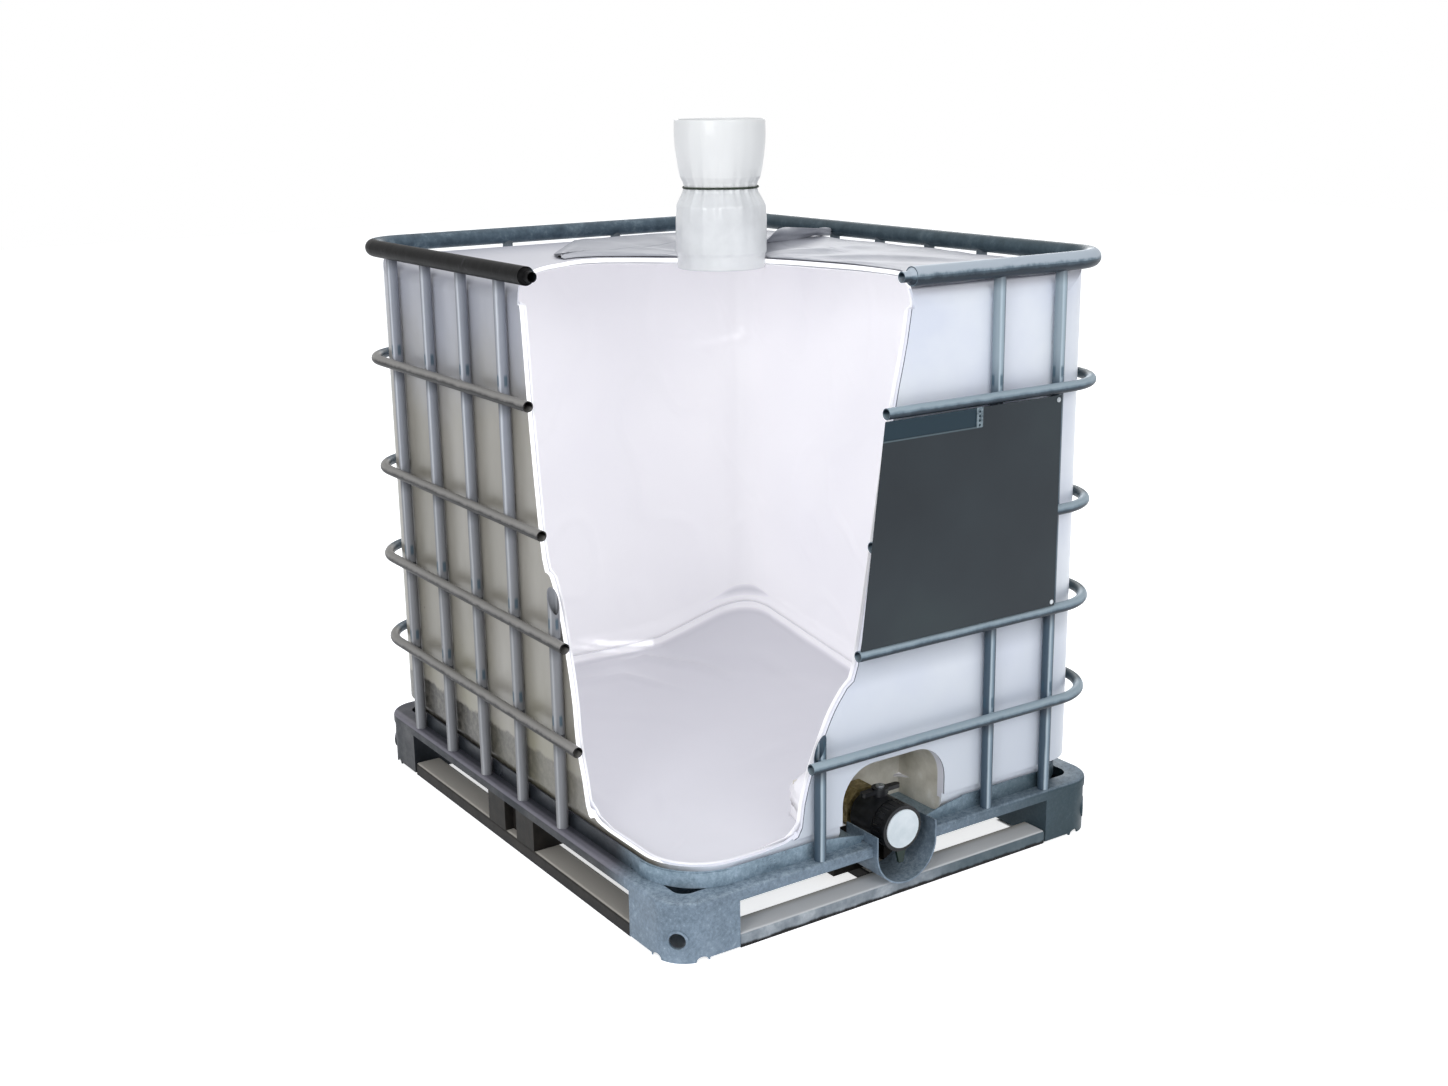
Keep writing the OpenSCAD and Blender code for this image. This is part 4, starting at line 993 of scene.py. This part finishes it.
def build_strap(finish):
    """A strip of film along the strap's path, twisted by its turns (degrees)."""
    path = np.array(STRAP_PATH, float)
    across_count, steps = 9, 60
    t = np.linspace(0, 1, len(path))
    s = np.linspace(0, 1, steps)
    smooth = np.column_stack([np.interp(s, t, path[:, k]) for k in range(3)])
    for _ in range(12):
        smooth[1:-1] = (smooth[:-2] + 2 * smooth[1:-1] + smooth[2:]) / 4
    width = np.interp(s, t, STRAP_WIDTHS)
    turn = np.radians(np.interp(s, t, STRAP_TURNS))
    points = []
    for k in range(steps):
        along = smooth[min(k + 1, steps - 1)] - smooth[max(k - 1, 0)]
        along /= np.linalg.norm(along)
        flat = np.cross(along, (0, 0, 1))
        flat /= np.linalg.norm(flat)
        up = np.cross(flat, along)
        across = math.cos(turn[k]) * flat + math.sin(turn[k]) * up
        lift = -math.sin(turn[k]) * flat + math.cos(turn[k]) * up
        for i in range(across_count):
            u = 2 * i / (across_count - 1) - 1
            curl = 0.18 * width[k] * (u * u) + 0.06 * width[k] * math.sin(9 * u + 12 * s[k])
            points.append(smooth[k] + across * u * width[k] / 2 + lift * curl)
    faces = net_faces(steps, across_count, False)
    strap = mesh_object("corner_strap", np.array(points) * MM, faces, finish)
    thicken(strap, 0.7)
    return strap


SKIRT_FOLDS = [
    ([(120, 60, 1113), (260, 150, 1113), (420, 250, 1113)], 13, 22),
    ([(110, -20, 1113), (240, -40, 1113), (400, -20, 1113)], 8, 26),
    ([(120, -60, 1113), (250, -230, 1113), (360, -420, 1113)], 7, 22),
    ([(-25, 515, 1113), (-170, 320, 1113), (-318, 126, 1113)], 5, 14),
    ([(40, 120, 1113), (120, 330, 1113), (200, 500, 1113)], 6, 24),
]
CREASE = ((-318, 126), (-25, 515))
SKIRT_BACK = 28


def skirt_gone(p):
    """Where the skirt's film is missing: past the section (held back on the left) or past the crease."""
    (x1, y1), (x2, y2) = CREASE
    folded = (x2 - x1) * (p[:, 1] - y1) - (y2 - y1) * (p[:, 0] - x1) > 0
    return cut_away(p, (0, -SKIRT_BACK, 0)) | cut_away(p, (0, 0, 0)) | folded


def build_skirt(finish):
    """The sleeve's skirt of film lying over the bottle's top, its left side folded back along a crease."""
    columns, inset = 260, 16
    brim = rounded_plan(BODY_PLAN[0] - inset, BODY_PLAN[1] - inset, BODY_PLAN[2] - inset, 0, 9.0)
    hole = hole_plan(brim, SLEEVE_R + 1.5)
    inner_x, inner_y = BODY_PLAN[0] - SHOULDER, BODY_PLAN[1] - SHOULDER
    rows = []
    for t in np.linspace(0, 1, 44):
        plan = hole + (brim - hole) * t
        over = np.clip(np.maximum(np.abs(plan[:, 0]) - inner_x, np.abs(plan[:, 1]) - inner_y), 0, SHOULDER)
        drop = SHOULDER - np.sqrt(SHOULDER ** 2 - over ** 2)
        rows.append(np.column_stack([plan, TANK_HIGH + 1.2 - drop]))
    rows = [kept_arc(row, columns, skirt_gone) for row in rows]
    points = np.vstack(rows)
    away = points[:, :2] - HOLE_CENTRE
    angle = np.arctan2(away[:, 1], away[:, 0])
    far = np.linalg.norm(away, axis=1)
    radial = np.array([noise.noise(Vector((3.2 * math.cos(q), 3.2 * math.sin(q), 0.003 * d)))
                       for q, d in zip(angle, far)])
    fine = np.array([noise.noise(Vector((9 * math.cos(q), 9 * math.sin(q), 0.008 * d)))
                     for q, d in zip(angle, far)])
    rise = 2.0 + 3.0 * radial + 2.0 * fine + 2.0 * film_noise(points, 120, 4.0)
    rise = with_folds(rise, points, SKIRT_FOLDS)
    along = np.tile(np.minimum(np.arange(columns), columns - 1 - np.arange(columns)), len(rows))
    rise = np.clip(rise, 0, 30) * np.clip((far - SLEEVE_R) / 30, 0.1, 1) * np.clip(along / 4, 0.25, 1)
    points[:, 2] += rise
    skirt = mesh_object("sleeve_skirt", points * MM, net_faces(len(rows), columns, False), finish)
    if skirt.data.polygons[0].normal.z < 0:
        skirt.data.flip_normals()
    thicken(skirt, offset=1)
    return skirt


# ---------------------------------------------------------------- welds

# each side's outward direction, the uprights' places along it and how far out its rings reach (mm)
CROSSINGS = [((-1, 0), [435, 278, 121, -36, -193], 500), ((1, 0), [440, 240, 82, -79, -239, -396], 500),
             ((0, -1), [-180, 214, 363], 600), ((0, 1), [-148, 124, 370], 600)]
BEAD_IN, BEAD_OFF, BEAD_RADIUS = 7.5, 8.5, 4.2


def weld_points():
    """Over and under every crossing of a ring and an upright that the section leaves."""
    spots = []
    for (nx, ny), places, reach in CROSSINGS:
        outward, along = np.array((nx, ny, 0)), np.array((abs(ny), abs(nx), 0))
        for z, set_in in RINGS:
            for place in places:
                p = outward * (reach - set_in - BEAD_IN) + along * place + np.array((0, 0, z))
                for dz in (-BEAD_OFF, BEAD_OFF):
                    spot = p + np.array((0, 0, dz))
                    if not cut_away(spot + outward * 6, (12, 12, 0))[0]:
                        spots.append(spot)
    return np.array(spots) * MM


def build_welds(finish):
    """Small weld beads over and under each crossing, set by Geometry Nodes."""
    mesh = bpy.data.meshes.new("crossing_welds")
    mesh.from_pydata([tuple(p) for p in weld_points()], [], [])
    piece = into_scene("crossing_welds", mesh)
    tree = bpy.data.node_groups.new("weld_bead_setter", "GeometryNodeTree")
    tree.interface.new_socket("Geometry", in_out="INPUT", socket_type="NodeSocketGeometry")
    size = tree.interface.new_socket("Bead Radius", in_out="INPUT", socket_type="NodeSocketFloat")
    tree.interface.new_socket("Geometry", in_out="OUTPUT", socket_type="NodeSocketGeometry")
    add = tree.nodes.new
    start, end = add("NodeGroupInput"), add("NodeGroupOutput")
    bead = fill(add("GeometryNodeMeshIcoSphere"), Subdivisions=2)
    tree.links.new(start.outputs["Bead Radius"], bead.inputs["Radius"])
    shape = add("FunctionNodeRandomValue")
    shape.data_type = "FLOAT_VECTOR"
    fill(shape, Min=(1.0, 1.0, 0.32), Max=(1.5, 1.5, 0.5), Seed=7)
    setter = add("GeometryNodeInstanceOnPoints")
    tree.links.new(start.outputs["Geometry"], setter.inputs["Points"])
    tree.links.new(bead.outputs["Mesh"], setter.inputs["Instance"])
    tree.links.new(shape.outputs["Value"], setter.inputs["Scale"])
    real = add("GeometryNodeRealizeInstances")
    paint = fill(add("GeometryNodeSetMaterial"), Material=finish)
    tree.links.new(setter.outputs[0], real.inputs[0])
    tree.links.new(real.outputs[0], paint.inputs[0])
    tree.links.new(paint.outputs[0], end.inputs[0])
    modifier = piece.modifiers.new("beads", "NODES")
    modifier.node_group = tree
    modifier[size.identifier] = BEAD_RADIUS * MM
    apply_modifiers(piece)
    return piece


# ---------------------------------------------------------------- build

place_camera()
build_studio()
make_finishes()
for finish_name, names in NODE_FINISH.items():
    for node_name in names:
        slots = NODE[node_name].data.materials
        if not len(slots):
            slots.append(None)
        for k in range(len(slots)):
            slots[k] = FINISH[finish_name]

liner_floor = build_liner_floor(FINISH["liner_film"])
liner_walls = build_liner_walls(FINISH["liner_film"])
liner_top = build_liner_top(FINISH["liner_film"])
for piece in (liner_floor, liner_walls, liner_top):
    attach(piece, "container")
    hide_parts("liner")

sleeve = build_sleeve(FINISH["sleeve_film"])
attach(sleeve, "container")
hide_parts("fill_sleeve")

cord = build_tie(FINISH["tie_cord"])
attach(cord, "container")
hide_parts("sleeve_tie")

skirt = build_skirt(FINISH["skirt_film"])
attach(skirt, "container")

strap = build_strap(FINISH["skirt_film"])
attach(strap, "container")

welds = build_welds(FINISH["ring_steel"])
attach(welds, "container")
